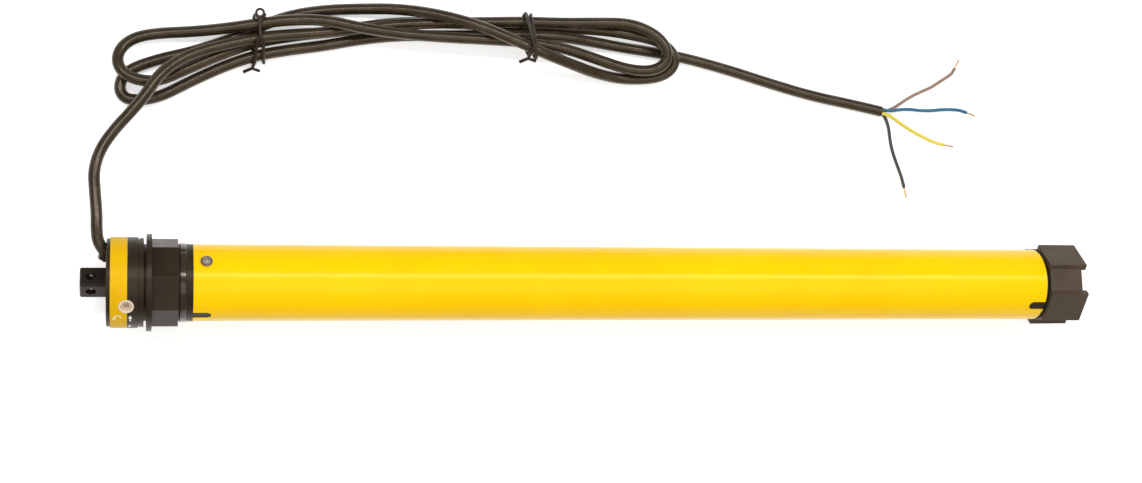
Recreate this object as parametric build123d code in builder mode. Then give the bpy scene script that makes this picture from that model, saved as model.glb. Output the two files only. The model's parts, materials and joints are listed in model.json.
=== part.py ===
# A tubular roller blind motor lying on a table, with its cable in a tied hank beside it.
# The motor's axis is the X axis, and x = 0 is the front face of the head. The square pin
# points to -X and the drive wheel to +X. +Y is the side where the cable lies, +Z is up.
# An azimuth is an angle round the X axis, in degrees, from +Z towards +Y.
import os
from math import acos, copysign, cos, pi, radians, sin, sqrt, tan

from build123d import *

# Overall sizes
OVERALL_LENGTH = 485.0
PIN_LENGTH = 11.5
TUBE_RADIUS = 17.5
TUBE_WALL = 0.9
TUBE_LEFT = 38.0
TUBE_WHEEL_GAP = 1.6
WHEEL_LENGTH = 19.6
CUT_OVERRUN = 1.0
RUNNING_CLEARANCE = 0.05
SEAT_CLEARANCE = 0.1
FREE_CLEARANCE = 0.3

# Square pin
PIN_SIDE = 10.0
PIN_CORNER = 0.8
PIN_TIP_BEVEL = 0.6
PIN_AZIMUTH = 31.0
PIN_HOLE_RADIUS = 2.25
PIN_HOLE_FROM_TIP = 4.9
PIN_FLANGE_RADIUS = 8.1
PIN_FLANGE_THICKNESS = 2.4

# Head: cover plate, yellow band, black housing
COVER_STEP = 0.6
COVER_THICKNESS = 1.8
COVER_BEVEL = 0.5
HEAD_RADIUS = 20.5
HEAD_WALL = 2.0
BAND_END = 9.2
HOUSING_END = 16.4
HOUSING_LIP_START = 14.0
HOUSING_LIP_WIDTH = 0.5
HOUSING_LIP_DEPTH = 0.8
RIM_STEP = 0.4
HOUSING_WALL = 2.2

# Cable gland
GLAND_RADIUS = 3.6
GLAND_LENGTH = 3.2
GLAND_ROOT_LENGTH = 4.0
GLAND_RIB_RADIUS = 4.1
GLAND_RIB_LENGTH = 1.0
GLAND_RIB_SETBACK = 0.5

# Cover screws
COVER_SCREW_AZIMUTHS = (-73.0, 107.0)
COVER_SCREW_INSET = 1.4
COVER_SCREW_RADIUS = 1.3
COVER_SCREW_HEAD_RADIUS = 2.4
COVER_SCREW_HEAD_HEIGHT = 1.2
COVER_SCREW_LENGTH = 5.6
COVER_BOSS_RADIUS = 2.6
DRIVE_SLOT_WIDTH = 0.7
DRIVE_SLOT_DEPTH = 0.6

# Limit adjusters
ADJUSTER_X = 8.8
ADJUSTER_AZIMUTHS = (-34.2, -112.0)
ADJUSTER_RADIUS = 3.4
ADJUSTER_SCREW_RADIUS = 2.5
ADJUSTER_SUNK = 0.2
ADJUSTER_SCREW_SUNK = 0.7
ADJUSTER_LENGTH = 4.6
ADJUSTER_HEX_RADIUS = 1.6
ADJUSTER_HEX_DEPTH = 2.0

# Limit switch parts in the head
FRAME_X = 12.8
FRAME_THICKNESS = 1.2
FRAME_WIRE_HOLE_RADIUS = 3.0
FRAME_WIRE_HOLE_DISTANCE = 8.5
SWITCH_DEPTH = 5.0
SWITCH_WIDTH = 5.4
SWITCH_HEIGHT = 9.0
SWITCH_OFFSET = 10.2
SWITCH_LIFTS = (1.2, -2.2)
PLUNGER_WIDTH = 1.2
PLUNGER_LENGTH = 1.2
COUNTER_AZIMUTH = -172.0
COUNTER_MODULE = 0.8
COUNTER_TEETH = 15
CROWN_GEAR_TEETH = 48
COUNTER_GEAR_WIDTH = 1.4
COUNTER_SHAFT_RADIUS = 1.2
COUNTER_SHAFT_START = 4.6
CAM_MODULE = 0.5
CAM_PINION_TEETH = 9
CAM_TEETH = 30
CAM_X = 5.8
CAM_WIDTH = 1.6
CAM_DISC_RADIUS = 5.2
CAM_DISC_WIDTH = 4.0
CAM_NOTCH_RADIUS = 1.5
CAM_SHAFT_RADIUS = 1.2

# Head spigot, on which the crown turns
SLEEVE_RADIUS = 17.4
SLEEVE_BORE_RADIUS = 14.2
SLEEVE_END = 31.9
THRUST_START = 17.5
THRUST_END = 18.9
THRUST_RADIUS = 18.3
CLIP_START = 32.0
CLIP_END = 35.1
CLIP_GROOVE_RADIUS = 16.7
CLIP_RADIUS = 17.95
CLIP_GAP_ANGLE = 40.0
CLIP_EDGE = 0.4
COLLAR_RADIUS = 17.6
COLLAR_GROOVE_WIDTH = 0.35
COLLAR_GROOVE_DEPTH = 0.35
COLLAR_GROOVE_XS = (36.0, 37.0)
SPIGOT_END = 60.0
BOARD_LENGTH = 22.0
BOARD_THICKNESS = 1.6
BOARD_START = 38.0
BOARD_DEPTH = 8.0
TERMINAL_LENGTH = 12.0
TERMINAL_WIDTH = 14.0
TERMINAL_HEIGHT = 7.0
TERMINAL_HOLE_RADIUS = 1.3
TERMINAL_HOLE_COUNT = 4

# Crown
CROWN_START = 17.5
CROWN_FLANGE_RADIUS = 22.0
CROWN_FLANGE_THICKNESS = 2.4
CROWN_END = 31.5
CROWN_CORNER_RADIUS = 20.0
CROWN_EDGE_AZIMUTH = 4.5
CROWN_SIDES = 8
CROWN_EDGE_FILLET = 0.6
CROWN_NOTCH_LENGTH = 3.2
CROWN_NOTCH_WIDTH = 3.0
CROWN_NOTCH_X = 27.0
CROWN_NOTCH_AZIMUTH = -108.0
CROWN_GEAR_DEPTH = 1.8

# Tube, its slots, bumps and screws
SLOT_LENGTH = 8.1
SLOT_WIDTH = 4.6
LEFT_SLOT_AZIMUTH = -60.5
RIGHT_SLOT_AZIMUTH = -39.8
BUMP_RADIUS = 1.5
BUMP_HEIGHT = 0.35
BUMP_AZIMUTH = 50.0
BUMP_SHARES = (0.4512, 0.9875)
TUBE_SCREW_X = 43.7
TUBE_SCREW_AZIMUTH = 29.3
TUBE_SCREW_HEAD_RADIUS = 2.65
TUBE_SCREW_HEAD_HEIGHT = 1.1
TUBE_SCREW_RADIUS = 1.4
TUBE_SCREW_LENGTH = 3.6

# Capacitor
CAPACITOR_START = 66.0
CAPACITOR_LENGTH = 92.0
CAPACITOR_RADIUS = 14.0
CAPACITOR_EDGE = 1.5
CAPACITOR_TAB_LENGTH = 5.0
CAPACITOR_TAB_WIDTH = 5.0
CAPACITOR_TAB_THICKNESS = 0.8
CAPACITOR_TAB_OFFSET = 4.5
HOLDER_RIB_WIDTH = 2.4
HOLDER_RIB_COUNT = 6
HOLDER_WALL = 1.0
HOLDER_SETBACK = 30.0

# Motor
CAPACITOR_MOTOR_GAP = 14.0
SHIELD_THICKNESS = 8.0
WINDING_LENGTH = 13.0
STATOR_BORE_RADIUS = 8.6
STATOR_SLOT_COUNT = 12
STATOR_SLOT_WIDTH = 2.2
STATOR_SLOT_DEPTH = 3.4
STATOR_SLOT_CIRCLE = 12.2
WINDING_OUTER_RADIUS = 14.6
WINDING_INNER_RADIUS = 9.6
ROTOR_RADIUS = 8.3
ROTOR_RING_LENGTH = 3.0
ROTOR_RING_RADIUS = 7.4
SHAFT_RADIUS = 2.5
SHAFT_START_SETBACK = 4.0

# Brake
BRAKE_GAP = 2.0
BRAKE_COIL_LENGTH = 16.0
BRAKE_PIN_RADIUS = 1.0
BRAKE_PIN_CIRCLE = 13.0
BRAKE_BORE_RADIUS = 4.2
BRAKE_ARMATURE_THICKNESS = 3.0
BRAKE_ARMATURE_RADIUS = 15.4
BRAKE_TRAVEL = 0.4
BRAKE_DISC_THICKNESS = 2.5
BRAKE_DISC_RADIUS = 11.6
BRAKE_HUB_RADIUS = 4.6
BRAKE_PIN_COUNT = 3

# Planetary gearbox
MODULE = 1.0
SUN_TEETH = 9
PLANET_TEETH = 9
RING_TEETH = 27
PLANET_COUNT = 3
STAGE_COUNT = 3
PRESSURE_ANGLE = 25.0
ADDENDUM_SHARE = 0.78
RING_ADDENDUM_SHARE = 0.62
DEDENDUM_SHARE = 1.0
BACKLASH = 0.14
GEARBOX_COVER_THICKNESS = 3.0
STAGE_GAP = 0.6
STAGE_WIDTHS = (12.0, 16.0, 22.0)
CARRIER_THICKNESS = 3.0
CARRIER_RADIUS = 12.2
PLANET_PIN_RADIUS = 1.4

# Output side
GEARBOX_SETBACK = 35.1
OUTPUT_SHAFT_RADIUS = 6.0
OUTPUT_FLAT = 4.9
END_CAP_FLANGE = 0.8
END_CAP_SLEEVE_RADIUS = 14.0
END_CAP_FLANGE_RADIUS = 17.0
BUSH_LENGTH = 20.0
KEY_SUNK = 0.4
KEY_SIDE_CLEARANCE = 0.15

# Drive wheel
WHEEL_EDGE_AZIMUTH = 5.0
WHEEL_CORE_DISTANCE = 17.35
WHEEL_CORE_BACK = 0.3
WHEEL_CORE_SHORT = 2.3
PAD_DISTANCE = 18.6
PAD_WIDTH = 16.8
PAD_COUNT = 4
WHEEL_CUP_RADIUS = 14.6
WHEEL_CUP_DEPTH = 11.0
WHEEL_HUB_RADIUS = 8.6
WHEEL_RIB_WIDTH = 1.8
WHEEL_RIB_COUNT = 8
WHEEL_CLIP_RADIUS = 7.6
WHEEL_CLIP_THICKNESS = 1.0
WHEEL_CLIP_GROOVE_RADIUS = 5.3
WHEEL_CLIP_GAP = 5.0
SHAFT_END_SETBACK = 0.4

# Cable and hank. The table lies under the crown's flange.
TABLE_Z = -CROWN_FLANGE_RADIUS
CABLE_DIAMETER = 5.4
CABLE_SIDES = 10
STRAND_GAP = 0.5
LAYER_PITCH = CABLE_DIAMETER + STRAND_GAP
STRAND_FLOOR = TABLE_Z + CABLE_DIAMETER / 2 + STRAND_GAP / 10
ARC_SHARE = 0.45
GAP_CHECK_STEP = 1.5
GAP_CHECK_REACH = 3 * CABLE_DIAMETER

# The lead's route from the gland to the hank, in the order of the cable
LEAD_ROUTE = (
    (-0.7, 13.6, 5.2),
    (-3.35, 16.7, 6.9),
    (-4.3, 22.3, 7.5),
    (-4.3, 30.5, 6.8),
    (-5.2, 40.5, 5.4),
    (-5.9, 50.0, 3.8),
    (-3.2, 59.8, 2.2),
    (3.3, 69.5, 1.0),
    (11.0, 78.2, 0.2),
    (17.4, 86.6, -0.6),
    (22.6, 95.0, -1.8),
    (30.5, 102.0, -4.6),
    (42.0, 107.9, -6.9),
)

# The hank: stations along X, how far the ties lift the strands there, and then, for each
# pass of the cable, where it lies across the hank and on which layer it runs
HANK_STATIONS = (22, 38, 53, 66.5, 82, 99, 116, 135, 154, 173, 195.5, 213, 231, 246)
HANK_LIFT = (0, 0.3, 1.1, 1.7, 1.1, 0.3, 0, 0, 0, 0.6, 1.7, 0.9, 0, 0)
FIRST_PASS_START = 3
PASS_ACROSS = (
    (114.8, 114.8, 114.8, 114.8, 116.9, 118.6, 121.2, 123.9, 125.2, 125.9, 126.8, 126.9, 127.6, 127.6),
    (116.7, 117.6, 119.2, 121.3, 123.9, 123.8, 120.2, 118.2, 117.3, 116.9, 116.1, 114.2, 109.8, 105.2),
    (93.0, 100.8, 108.0, 113.7, 117.0, 119.8, 122.8, 125.9, 126.3, 125.9, 125.0, 125.3, 125.4, 123.4),
    (104.6, 108.6, 114.0, 120.2, 127.0, 130.4, 131.7, 131.3, 127.9, 121.8, 112.4, 107.0, 102.9, 101.0),
    (86.2, 95.2, 102.4, 107.4, 110.6, 113.3, 117.0, 119.3, 119.2, 119.5, 120.5, 120.5, 119.0, 116.9),
)
PASS_LAYER = (
    (1.1, 1.1, 1.1, 1.1, 1, 1, 1, 1, 1, 1, 1, 1, 1.2, 1.6),
    (0.25, 0.5, 0.8, 1.1, 1.2, 1.85, 2.1, 2, 2, 1.95, 1.9, 1.6, 1.1, 1.1),
    (1.2, 1.15, 0.7, 0, 0, 0, 0, 0, 0, 0, 0, 0, 0.2, 0.7),
    (0, 0, 0, 0, 0, 0, 0, 1.0, 2.05, 2.95, 3.05, 2.2, 0.8, 0.1),
    (0.25, 0, 0, 0, 0, 0, 0, 0.2, 0.7, 1, 1, 0.8, 0.2, 0),
)
# Each half turn between two passes: reach along X, drift across, layers climbed in the
# middle, number of points, and how blunt its end is
HALF_TURNS = (
    (19.6, -4.6, 0.7, 5, 0.85),
    (-18.5, -1.4, 0.15, 5, 0.85),
    (25.3, -2.1, 0.6, 4, 0.75),
    (-17.4, -4.4, 0.05, 4, 0.6),
)

# The tail's route from the hank to the end of the sheath
TAIL_ROUTE = (
    (261.5, 115.2, STRAND_FLOOR),
    (276.6, 113.0, STRAND_FLOOR),
    (299.4, 107.6, STRAND_FLOOR),
    (321.0, 101.4, STRAND_FLOOR),
    (344.0, 95.4, STRAND_FLOOR),
    (367.0, 91.4, STRAND_FLOOR),
    (381.0, 88.5, STRAND_FLOOR),
)

# Wires at the stripped end: where each leaves the sheath, across and up, and its route
WIRE_DIAMETER = 1.7
WIRE_SIDES = 6
WIRE_OFFSET = 1.0
TIP_DIAMETER = 1.0
TIP_LENGTH = 5.2
WIRE_PLACES = {
    "brown": (1, -1),
    "blue": (1, 1),
    "yellow_green": (-1, 1),
    "black": (-1, -1),
}
WIRE_ROUTES = {
    "brown": (
        (385.6, 89.3, -20.4), (390.3, 91.7, -20.6), (396.6, 95.9, -20.8),
        (402.8, 99.0, -21.0), (409.0, 101.5, -20.9),
        (413.8, 104.6, -21.0), (418.4, 107.4, -20.9), (421.4, 109.5, -21.0), (422.7, 111.9, -21.1),
    ),
    "blue": (
        (385.8, 88.7, -18.1), (391.2, 89.6, -18.2), (397.0, 89.9, -18.9),
        (403.0, 89.5, -19.9), (409.2, 89.7, -20.6),
        (415.0, 90.5, -20.9), (421.4, 90.6, -20.9), (425.6, 90.3, -21.0), (428.8, 89.2, -21.1),
    ),
    "yellow_green": (
        (384.6, 86.6, -18.5), (387.9, 85.1, -19.2), (392.2, 82.6, -20.1),
        (396.7, 79.9, -20.7), (402.6, 76.9, -21.0),
        (408.5, 74.3, -20.9), (412.6, 72.9, -21.0), (416.0, 72.3, -21.1),
    ),
    "black": (
        (383.9, 85.4, -20.5), (385.7, 80.9, -20.8), (386.3, 75.6, -21.0),
        (387.1, 70.2, -20.9), (388.8, 64.8, -21.0),
        (390.9, 59.2, -20.9), (392.7, 54.4, -21.0), (393.7, 49.9, -21.1),
    ),
}

# Ties round the hank, each a band of two turns of wire side by side
TIE_THICKNESS = 1.1
TIE_WIDTH = 3.6
TIE_CLEARANCE = 0.5
TIE_STEPS = 24
LEFT_TIE_X = 66.6
RIGHT_TIE_X = 194.6
TIE_END_LENGTH = 3.0
TIE_END_AZIMUTH = -90.0
TIE_EAR_RADIUS = 2.3
TIE_EAR_AZIMUTH = 78.0

WHEEL_START = OVERALL_LENGTH - PIN_LENGTH - WHEEL_LENGTH
WHEEL_END = WHEEL_START + WHEEL_LENGTH
TUBE_RIGHT = WHEEL_START - TUBE_WHEEL_GAP
TUBE_BORE = TUBE_RADIUS - TUBE_WALL
INSERT_RADIUS = TUBE_BORE - SEAT_CLEARANCE
COVER_RADIUS = HEAD_RADIUS - COVER_STEP
RIM_RADIUS = HEAD_RADIUS - RIM_STEP
HOUSING_BORE_RADIUS = HEAD_RADIUS - HEAD_WALL - SEAT_CLEARANCE - HOUSING_WALL
COVER_SCREW_CIRCLE = HOUSING_BORE_RADIUS - COVER_SCREW_INSET
ADJUSTER_TOP_RADIUS = HEAD_RADIUS - ADJUSTER_SUNK
PLANET_CIRCLE = MODULE * (SUN_TEETH + PLANET_TEETH) / 2

# The motor starts behind the capacitor. Gearbox and brake are placed from the tube's far
# end, and the stator takes up the length between.
STAGE_LENGTHS = [width + CARRIER_THICKNESS + 2 * STAGE_GAP for width in STAGE_WIDTHS]
RING_END = TUBE_RIGHT - GEARBOX_SETBACK
RING_START = RING_END - sum(STAGE_LENGTHS) - STAGE_GAP
STAGE_STARTS = [RING_START + STAGE_GAP + sum(STAGE_LENGTHS[:stage]) for stage in range(STAGE_COUNT)]
GEARBOX_START = RING_START - GEARBOX_COVER_THICKNESS
DISC_START = GEARBOX_START - FREE_CLEARANCE - BRAKE_DISC_THICKNESS
ARMATURE_START = DISC_START - FREE_CLEARANCE - BRAKE_ARMATURE_THICKNESS
BRAKE_START = ARMATURE_START - FREE_CLEARANCE - BRAKE_TRAVEL - BRAKE_COIL_LENGTH
REAR_SHIELD_START = BRAKE_START - BRAKE_GAP - SHIELD_THICKNESS
STATOR_END = REAR_SHIELD_START - SEAT_CLEARANCE - WINDING_LENGTH
MOTOR_START = CAPACITOR_START + CAPACITOR_LENGTH + CAPACITOR_MOTOR_GAP
STATOR_START = MOTOR_START + SHIELD_THICKNESS + SEAT_CLEARANCE + WINDING_LENGTH

COUNTER_RADIUS = COUNTER_MODULE * (CROWN_GEAR_TEETH - COUNTER_TEETH) / 2
CAM_AXLE_RADIUS = COUNTER_RADIUS - CAM_MODULE * (CAM_PINION_TEETH + CAM_TEETH) / 2

os.makedirs("parts", exist_ok=True)


# Shared helpers

def save(builder, name):
    builder.part.label = name
    export_step(builder.part, f"parts/{name}.step")


def outward(azimuth):
    """The direction that points away from the motor's axis at this azimuth."""
    return Vector(0, sin(radians(azimuth)), cos(radians(azimuth)))


def radial_plane(x, azimuth, radius=0):
    """A plane that faces away from the axis, with its own x direction along the motor."""
    return Plane(
        origin=Vector(x, 0, 0) + outward(azimuth) * radius, x_dir=(1, 0, 0), z_dir=outward(azimuth)
    )


def axial_plane(x, azimuth=0, distance=0):
    """A plane across the motor, centred on the axis or on a point beside it."""
    return Plane(origin=Vector(x, 0, 0) + outward(azimuth) * distance, x_dir=(0, 1, 0), z_dir=(1, 0, 0))


def turned(*outline, mode=Mode.ADD):
    """Turns a closed outline of (x, radius) points round the motor's axis."""
    with BuildSketch(Plane.XZ) as profile:
        with BuildLine():
            Polyline(*outline, close=True)
        make_face()
    revolve(profile.sketch, axis=Axis.X, mode=mode)


def ring(start, end, inner, outer, mode=Mode.ADD):
    """A plain ring round the motor's axis."""
    turned((start, inner), (end, inner), (end, outer), (start, outer), mode=mode)


def rod(start, end, radius, azimuth=0, distance=0, mode=Mode.ADD):
    """A round bar along the motor, on its axis or beside it."""
    with BuildSketch(axial_plane(start, azimuth, distance)) as section:
        Circle(radius)
    extrude(section.sketch, amount=end - start, mode=mode)


def block(start, end, width, height, azimuth=0, distance=0, mode=Mode.ADD):
    """A block along the motor whose height lies along the azimuth, centred at a distance."""
    with BuildSketch(axial_plane(start, azimuth, distance)) as section:
        Rectangle(width, height, rotation=-azimuth)
    extrude(section.sketch, amount=end - start, mode=mode)


def radial_rod(x, azimuth, radius, low, high, mode=Mode.ADD):
    """A round bar that points away from the axis."""
    with BuildSketch(radial_plane(x, azimuth, low)) as section:
        Circle(radius)
    extrude(section.sketch, amount=high - low, mode=mode)


def involute(angle):
    return tan(angle) - angle


def polar_point(radius, angle):
    return Vector(radius * cos(angle), radius * sin(angle))


def toothed(
    start, width, teeth, module, low, high, play, tooth_azimuth, azimuth=0, distance=0, mode=Mode.ADD
):
    """A toothed bar along the motor with one tooth at the tooth azimuth. The play is what a
    tooth gains in width at the pitch circle, so it is negative on a gear and positive where
    the teeth are the gaps of a ring gear."""
    pitch = module * teeth / 2
    pressure = radians(PRESSURE_ANGLE)
    base = pitch * cos(pressure)
    foot = max(base, low)
    middle = pi / (2 * teeth) + play / (2 * pitch) + involute(pressure)
    radii = [foot, (foot + high) / 2, high]
    if foot > low:
        radii.insert(0, low)
    halves = [middle - involute(acos(min(1, base / max(radius, foot)))) for radius in radii]
    outline = []
    for number in range(teeth):
        centre = radians(90 - tooth_azimuth) + 2 * pi * number / teeth
        outline += [polar_point(radius, centre - half) for radius, half in zip(radii, halves)]
        outline += reversed([polar_point(radius, centre + half) for radius, half in zip(radii, halves)])
    with BuildSketch(axial_plane(start, azimuth, distance)) as section:
        with BuildLine():
            Polyline(*outline, close=True)
        make_face()
    extrude(section.sketch, amount=width, mode=mode)


def gear(start, width, teeth, module, tooth_azimuth, azimuth=0, distance=0):
    """An outside gear."""
    pitch = module * teeth / 2
    toothed(
        start,
        width,
        teeth,
        module,
        pitch - DEDENDUM_SHARE * module,
        pitch + ADDENDUM_SHARE * module,
        -BACKLASH * module,
        tooth_azimuth,
        azimuth,
        distance,
    )


def ring_gear_hole(start, width, teeth, module, gap_azimuth):
    """Cuts the hole of a ring gear, with a gap between two teeth at the gap azimuth."""
    pitch = module * teeth / 2
    toothed(
        start,
        width,
        teeth,
        module,
        pitch - RING_ADDENDUM_SHARE * module,
        pitch + DEDENDUM_SHARE * module,
        BACKLASH * module,
        gap_azimuth,
        mode=Mode.SUBTRACT,
    )


def cord(points, diameter, sides):
    """A cord along straight runs with a tangent arc at every point between its ends.
    Prints its least radius and how its volume compares with section times length."""
    points = [Vector(*point) for point in points]
    radii = []
    for before, corner, after in zip(points, points[1:], points[2:]):
        run_in = corner - before
        run_out = after - corner
        turn = radians(run_in.get_angle(run_out))
        radii.append(ARC_SHARE * min(run_in.length, run_out.length) / tan(turn / 2))
    with BuildLine() as route:
        if radii:
            FilletPolyline(*points, radius=radii)
        else:
            Line(*points)
    path = route.wires()[0]
    with BuildSketch(Plane(origin=path @ 0, z_dir=path % 0)) as section:
        RegularPolygon(diameter / 2, sides)
    volume_before = BuildPart._get_context().part.volume if BuildPart._get_context().part else 0
    sweep(section.sketch, path=path)
    volume = BuildPart._get_context().part.volume - volume_before
    expected = section.sketch.area * path.length
    least_radius = min(radii, default=0)
    print(f"cord length {path.length:.1f}, least radius {least_radius:.1f}")
    print(f"volume share {volume / expected:.4f}")
    return path


def adjuster_holes():
    """Cuts the round holes in which the limit adjusters sit."""
    for azimuth in ADJUSTER_AZIMUTHS:
        radial_rod(
            ADJUSTER_X,
            azimuth,
            ADJUSTER_RADIUS + SEAT_CLEARANCE,
            0,
            HEAD_RADIUS + CUT_OVERRUN,
            Mode.SUBTRACT,
        )


def slot_shape(open_end, closed_end, side_gap, low, high, azimuth, mode=Mode.ADD):
    """A slot of the tube with a round inner end, or what fills it, smaller by a gap."""
    width = SLOT_WIDTH - 2 * side_gap
    round_x = closed_end - copysign(SLOT_WIDTH / 2, closed_end - open_end)
    start, end = sorted((open_end, round_x))
    block(start, end, width, high - low, azimuth, (low + high) / 2, mode)
    radial_rod(round_x, azimuth, width / 2, low, high, mode)


def slot_keys(open_end, closed_end, slot_azimuth):
    """The two ribs of an insert that fill the slots of the tube."""
    for azimuth in (slot_azimuth, slot_azimuth + 180):
        low = TUBE_BORE - TUBE_WALL
        high = TUBE_RADIUS - KEY_SUNK
        slot_shape(open_end, closed_end, KEY_SIDE_CLEARANCE, low, high, azimuth)


def gland_root_point():
    start = Vector(*LEAD_ROUTE[0])
    along = (Vector(*LEAD_ROUTE[1]) - start).normalized()
    return start - along * GLAND_LENGTH


def gland_shape(grow, mode):
    """The gland's root along the motor and its nose along the cable, larger by a gap."""
    origin = gland_root_point()
    with BuildSketch(Plane(origin=origin, z_dir=Vector(*LEAD_ROUTE[0]) - origin)) as nose:
        Circle(GLAND_RADIUS + grow)
    extrude(nose.sketch, amount=GLAND_LENGTH, mode=mode)
    with BuildSketch(Plane(origin=origin, x_dir=(0, 1, 0), z_dir=(1, 0, 0))) as root:
        Circle(GLAND_RADIUS + grow)
    extrude(root.sketch, amount=GLAND_ROOT_LENGTH + grow, mode=mode)
    rib_low = GLAND_LENGTH - GLAND_RIB_LENGTH - GLAND_RIB_SETBACK - grow
    with BuildSketch(Plane(origin=origin, z_dir=Vector(*LEAD_ROUTE[0]) - origin).offset(rib_low)) as rib:
        Circle(GLAND_RIB_RADIUS + grow)
    extrude(rib.sketch, amount=GLAND_RIB_LENGTH + 2 * grow, mode=mode)


# Square pin, cross drilled for the bracket's split pin
with BuildPart() as square_pin:
    with BuildSketch(axial_plane(-PIN_LENGTH)) as pin_section:
        Rectangle(PIN_SIDE, PIN_SIDE, rotation=-PIN_AZIMUTH)
        fillet(pin_section.vertices(), PIN_CORNER)
    extrude(amount=PIN_LENGTH + COVER_THICKNESS + PIN_FLANGE_THICKNESS)
    chamfer(square_pin.faces().sort_by(Axis.X)[0].edges(), PIN_TIP_BEVEL)
    rod(COVER_THICKNESS, COVER_THICKNESS + PIN_FLANGE_THICKNESS, PIN_FLANGE_RADIUS)
    for azimuth in (PIN_AZIMUTH, PIN_AZIMUTH + 90):
        radial_rod(
            PIN_HOLE_FROM_TIP - PIN_LENGTH, azimuth, PIN_HOLE_RADIUS, -PIN_SIDE, PIN_SIDE, Mode.SUBTRACT
        )
save(square_pin, "square_pin")

# Cover plate on the front of the head
with BuildPart() as head_cover:
    turned(
        (0, 0),
        (0, COVER_RADIUS - COVER_BEVEL),
        (COVER_BEVEL, COVER_RADIUS),
        (COVER_THICKNESS, COVER_RADIUS),
        (COVER_THICKNESS, 0),
    )
    with BuildSketch(axial_plane(0)) as pin_opening:
        Rectangle(PIN_SIDE + 2 * SEAT_CLEARANCE, PIN_SIDE + 2 * SEAT_CLEARANCE, rotation=-PIN_AZIMUTH)
    extrude(amount=COVER_THICKNESS, mode=Mode.SUBTRACT)
    gland_shape(SEAT_CLEARANCE, Mode.SUBTRACT)
    lead_start = Vector(*LEAD_ROUTE[0])
    with BuildSketch(Plane(origin=lead_start, z_dir=Vector(*LEAD_ROUTE[1]) - lead_start)) as lead_relief:
        Circle(CABLE_DIAMETER / 2 + SEAT_CLEARANCE)
    extrude(lead_relief.sketch, amount=GLAND_LENGTH, mode=Mode.SUBTRACT)
    for azimuth in COVER_SCREW_AZIMUTHS:
        rod(
            0,
            COVER_THICKNESS,
            COVER_SCREW_RADIUS + SEAT_CLEARANCE,
            azimuth,
            COVER_SCREW_CIRCLE,
            Mode.SUBTRACT,
        )
        rod(
            0,
            COVER_SCREW_HEAD_HEIGHT,
            COVER_SCREW_HEAD_RADIUS + SEAT_CLEARANCE,
            azimuth,
            COVER_SCREW_CIRCLE,
            Mode.SUBTRACT,
        )
save(head_cover, "head_cover")

# Screws that hold the cover, with cross slots
with BuildPart() as cover_screws:
    for azimuth in COVER_SCREW_AZIMUTHS:
        rod(0, COVER_SCREW_HEAD_HEIGHT, COVER_SCREW_HEAD_RADIUS, azimuth, COVER_SCREW_CIRCLE)
        rod(COVER_SCREW_HEAD_HEIGHT, COVER_SCREW_LENGTH, COVER_SCREW_RADIUS, azimuth, COVER_SCREW_CIRCLE)
        for width, height in (
            (DRIVE_SLOT_WIDTH, COVER_SCREW_HEAD_RADIUS), (COVER_SCREW_HEAD_RADIUS, DRIVE_SLOT_WIDTH)
        ):
            block(0, DRIVE_SLOT_DEPTH, width, height, azimuth, COVER_SCREW_CIRCLE, Mode.SUBTRACT)
save(cover_screws, "cover_screws")

# Yellow band round the head
with BuildPart() as head_band:
    ring(COVER_THICKNESS, BAND_END, HEAD_RADIUS - HEAD_WALL, HEAD_RADIUS)
    adjuster_holes()
save(head_band, "head_band")

# Black housing of the head: the sleeve under the band, the rear wall and the rim
with BuildPart() as head_housing:
    turned(
        (COVER_THICKNESS, HOUSING_BORE_RADIUS),
        (HOUSING_LIP_START, HOUSING_BORE_RADIUS),
        (HOUSING_LIP_START, SLEEVE_BORE_RADIUS),
        (HOUSING_END, SLEEVE_BORE_RADIUS),
        (HOUSING_END, RIM_RADIUS),
        (HOUSING_LIP_START + HOUSING_LIP_WIDTH, RIM_RADIUS),
        (HOUSING_LIP_START + HOUSING_LIP_WIDTH, HEAD_RADIUS - HOUSING_LIP_DEPTH),
        (HOUSING_LIP_START, HEAD_RADIUS - HOUSING_LIP_DEPTH),
        (HOUSING_LIP_START, HEAD_RADIUS),
        (BAND_END, HEAD_RADIUS),
        (BAND_END, HEAD_RADIUS - HEAD_WALL - SEAT_CLEARANCE),
        (COVER_THICKNESS, HEAD_RADIUS - HEAD_WALL - SEAT_CLEARANCE),
    )
    for azimuth in COVER_SCREW_AZIMUTHS:
        rod(
            COVER_THICKNESS,
            COVER_SCREW_LENGTH + COVER_THICKNESS,
            COVER_BOSS_RADIUS,
            azimuth,
            COVER_SCREW_CIRCLE,
        )
        rod(
            COVER_THICKNESS,
            COVER_SCREW_LENGTH + SEAT_CLEARANCE,
            COVER_SCREW_RADIUS + SEAT_CLEARANCE,
            azimuth,
            COVER_SCREW_CIRCLE,
            Mode.SUBTRACT,
        )
    rod(
        HOUSING_LIP_START,
        HOUSING_END,
        COUNTER_SHAFT_RADIUS + RUNNING_CLEARANCE,
        COUNTER_AZIMUTH,
        COUNTER_RADIUS,
        Mode.SUBTRACT,
    )
    gland_shape(SEAT_CLEARANCE, Mode.SUBTRACT)
    adjuster_holes()
save(head_housing, "head_housing")

# Collars round the limit adjusters
with BuildPart() as adjuster_bezels:
    for azimuth in ADJUSTER_AZIMUTHS:
        radial_rod(ADJUSTER_X, azimuth, ADJUSTER_RADIUS, HOUSING_BORE_RADIUS, ADJUSTER_TOP_RADIUS)
        radial_rod(
            ADJUSTER_X,
            azimuth,
            ADJUSTER_SCREW_RADIUS + RUNNING_CLEARANCE,
            HOUSING_BORE_RADIUS,
            ADJUSTER_TOP_RADIUS,
            Mode.SUBTRACT,
        )
save(adjuster_bezels, "adjuster_bezels")

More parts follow.
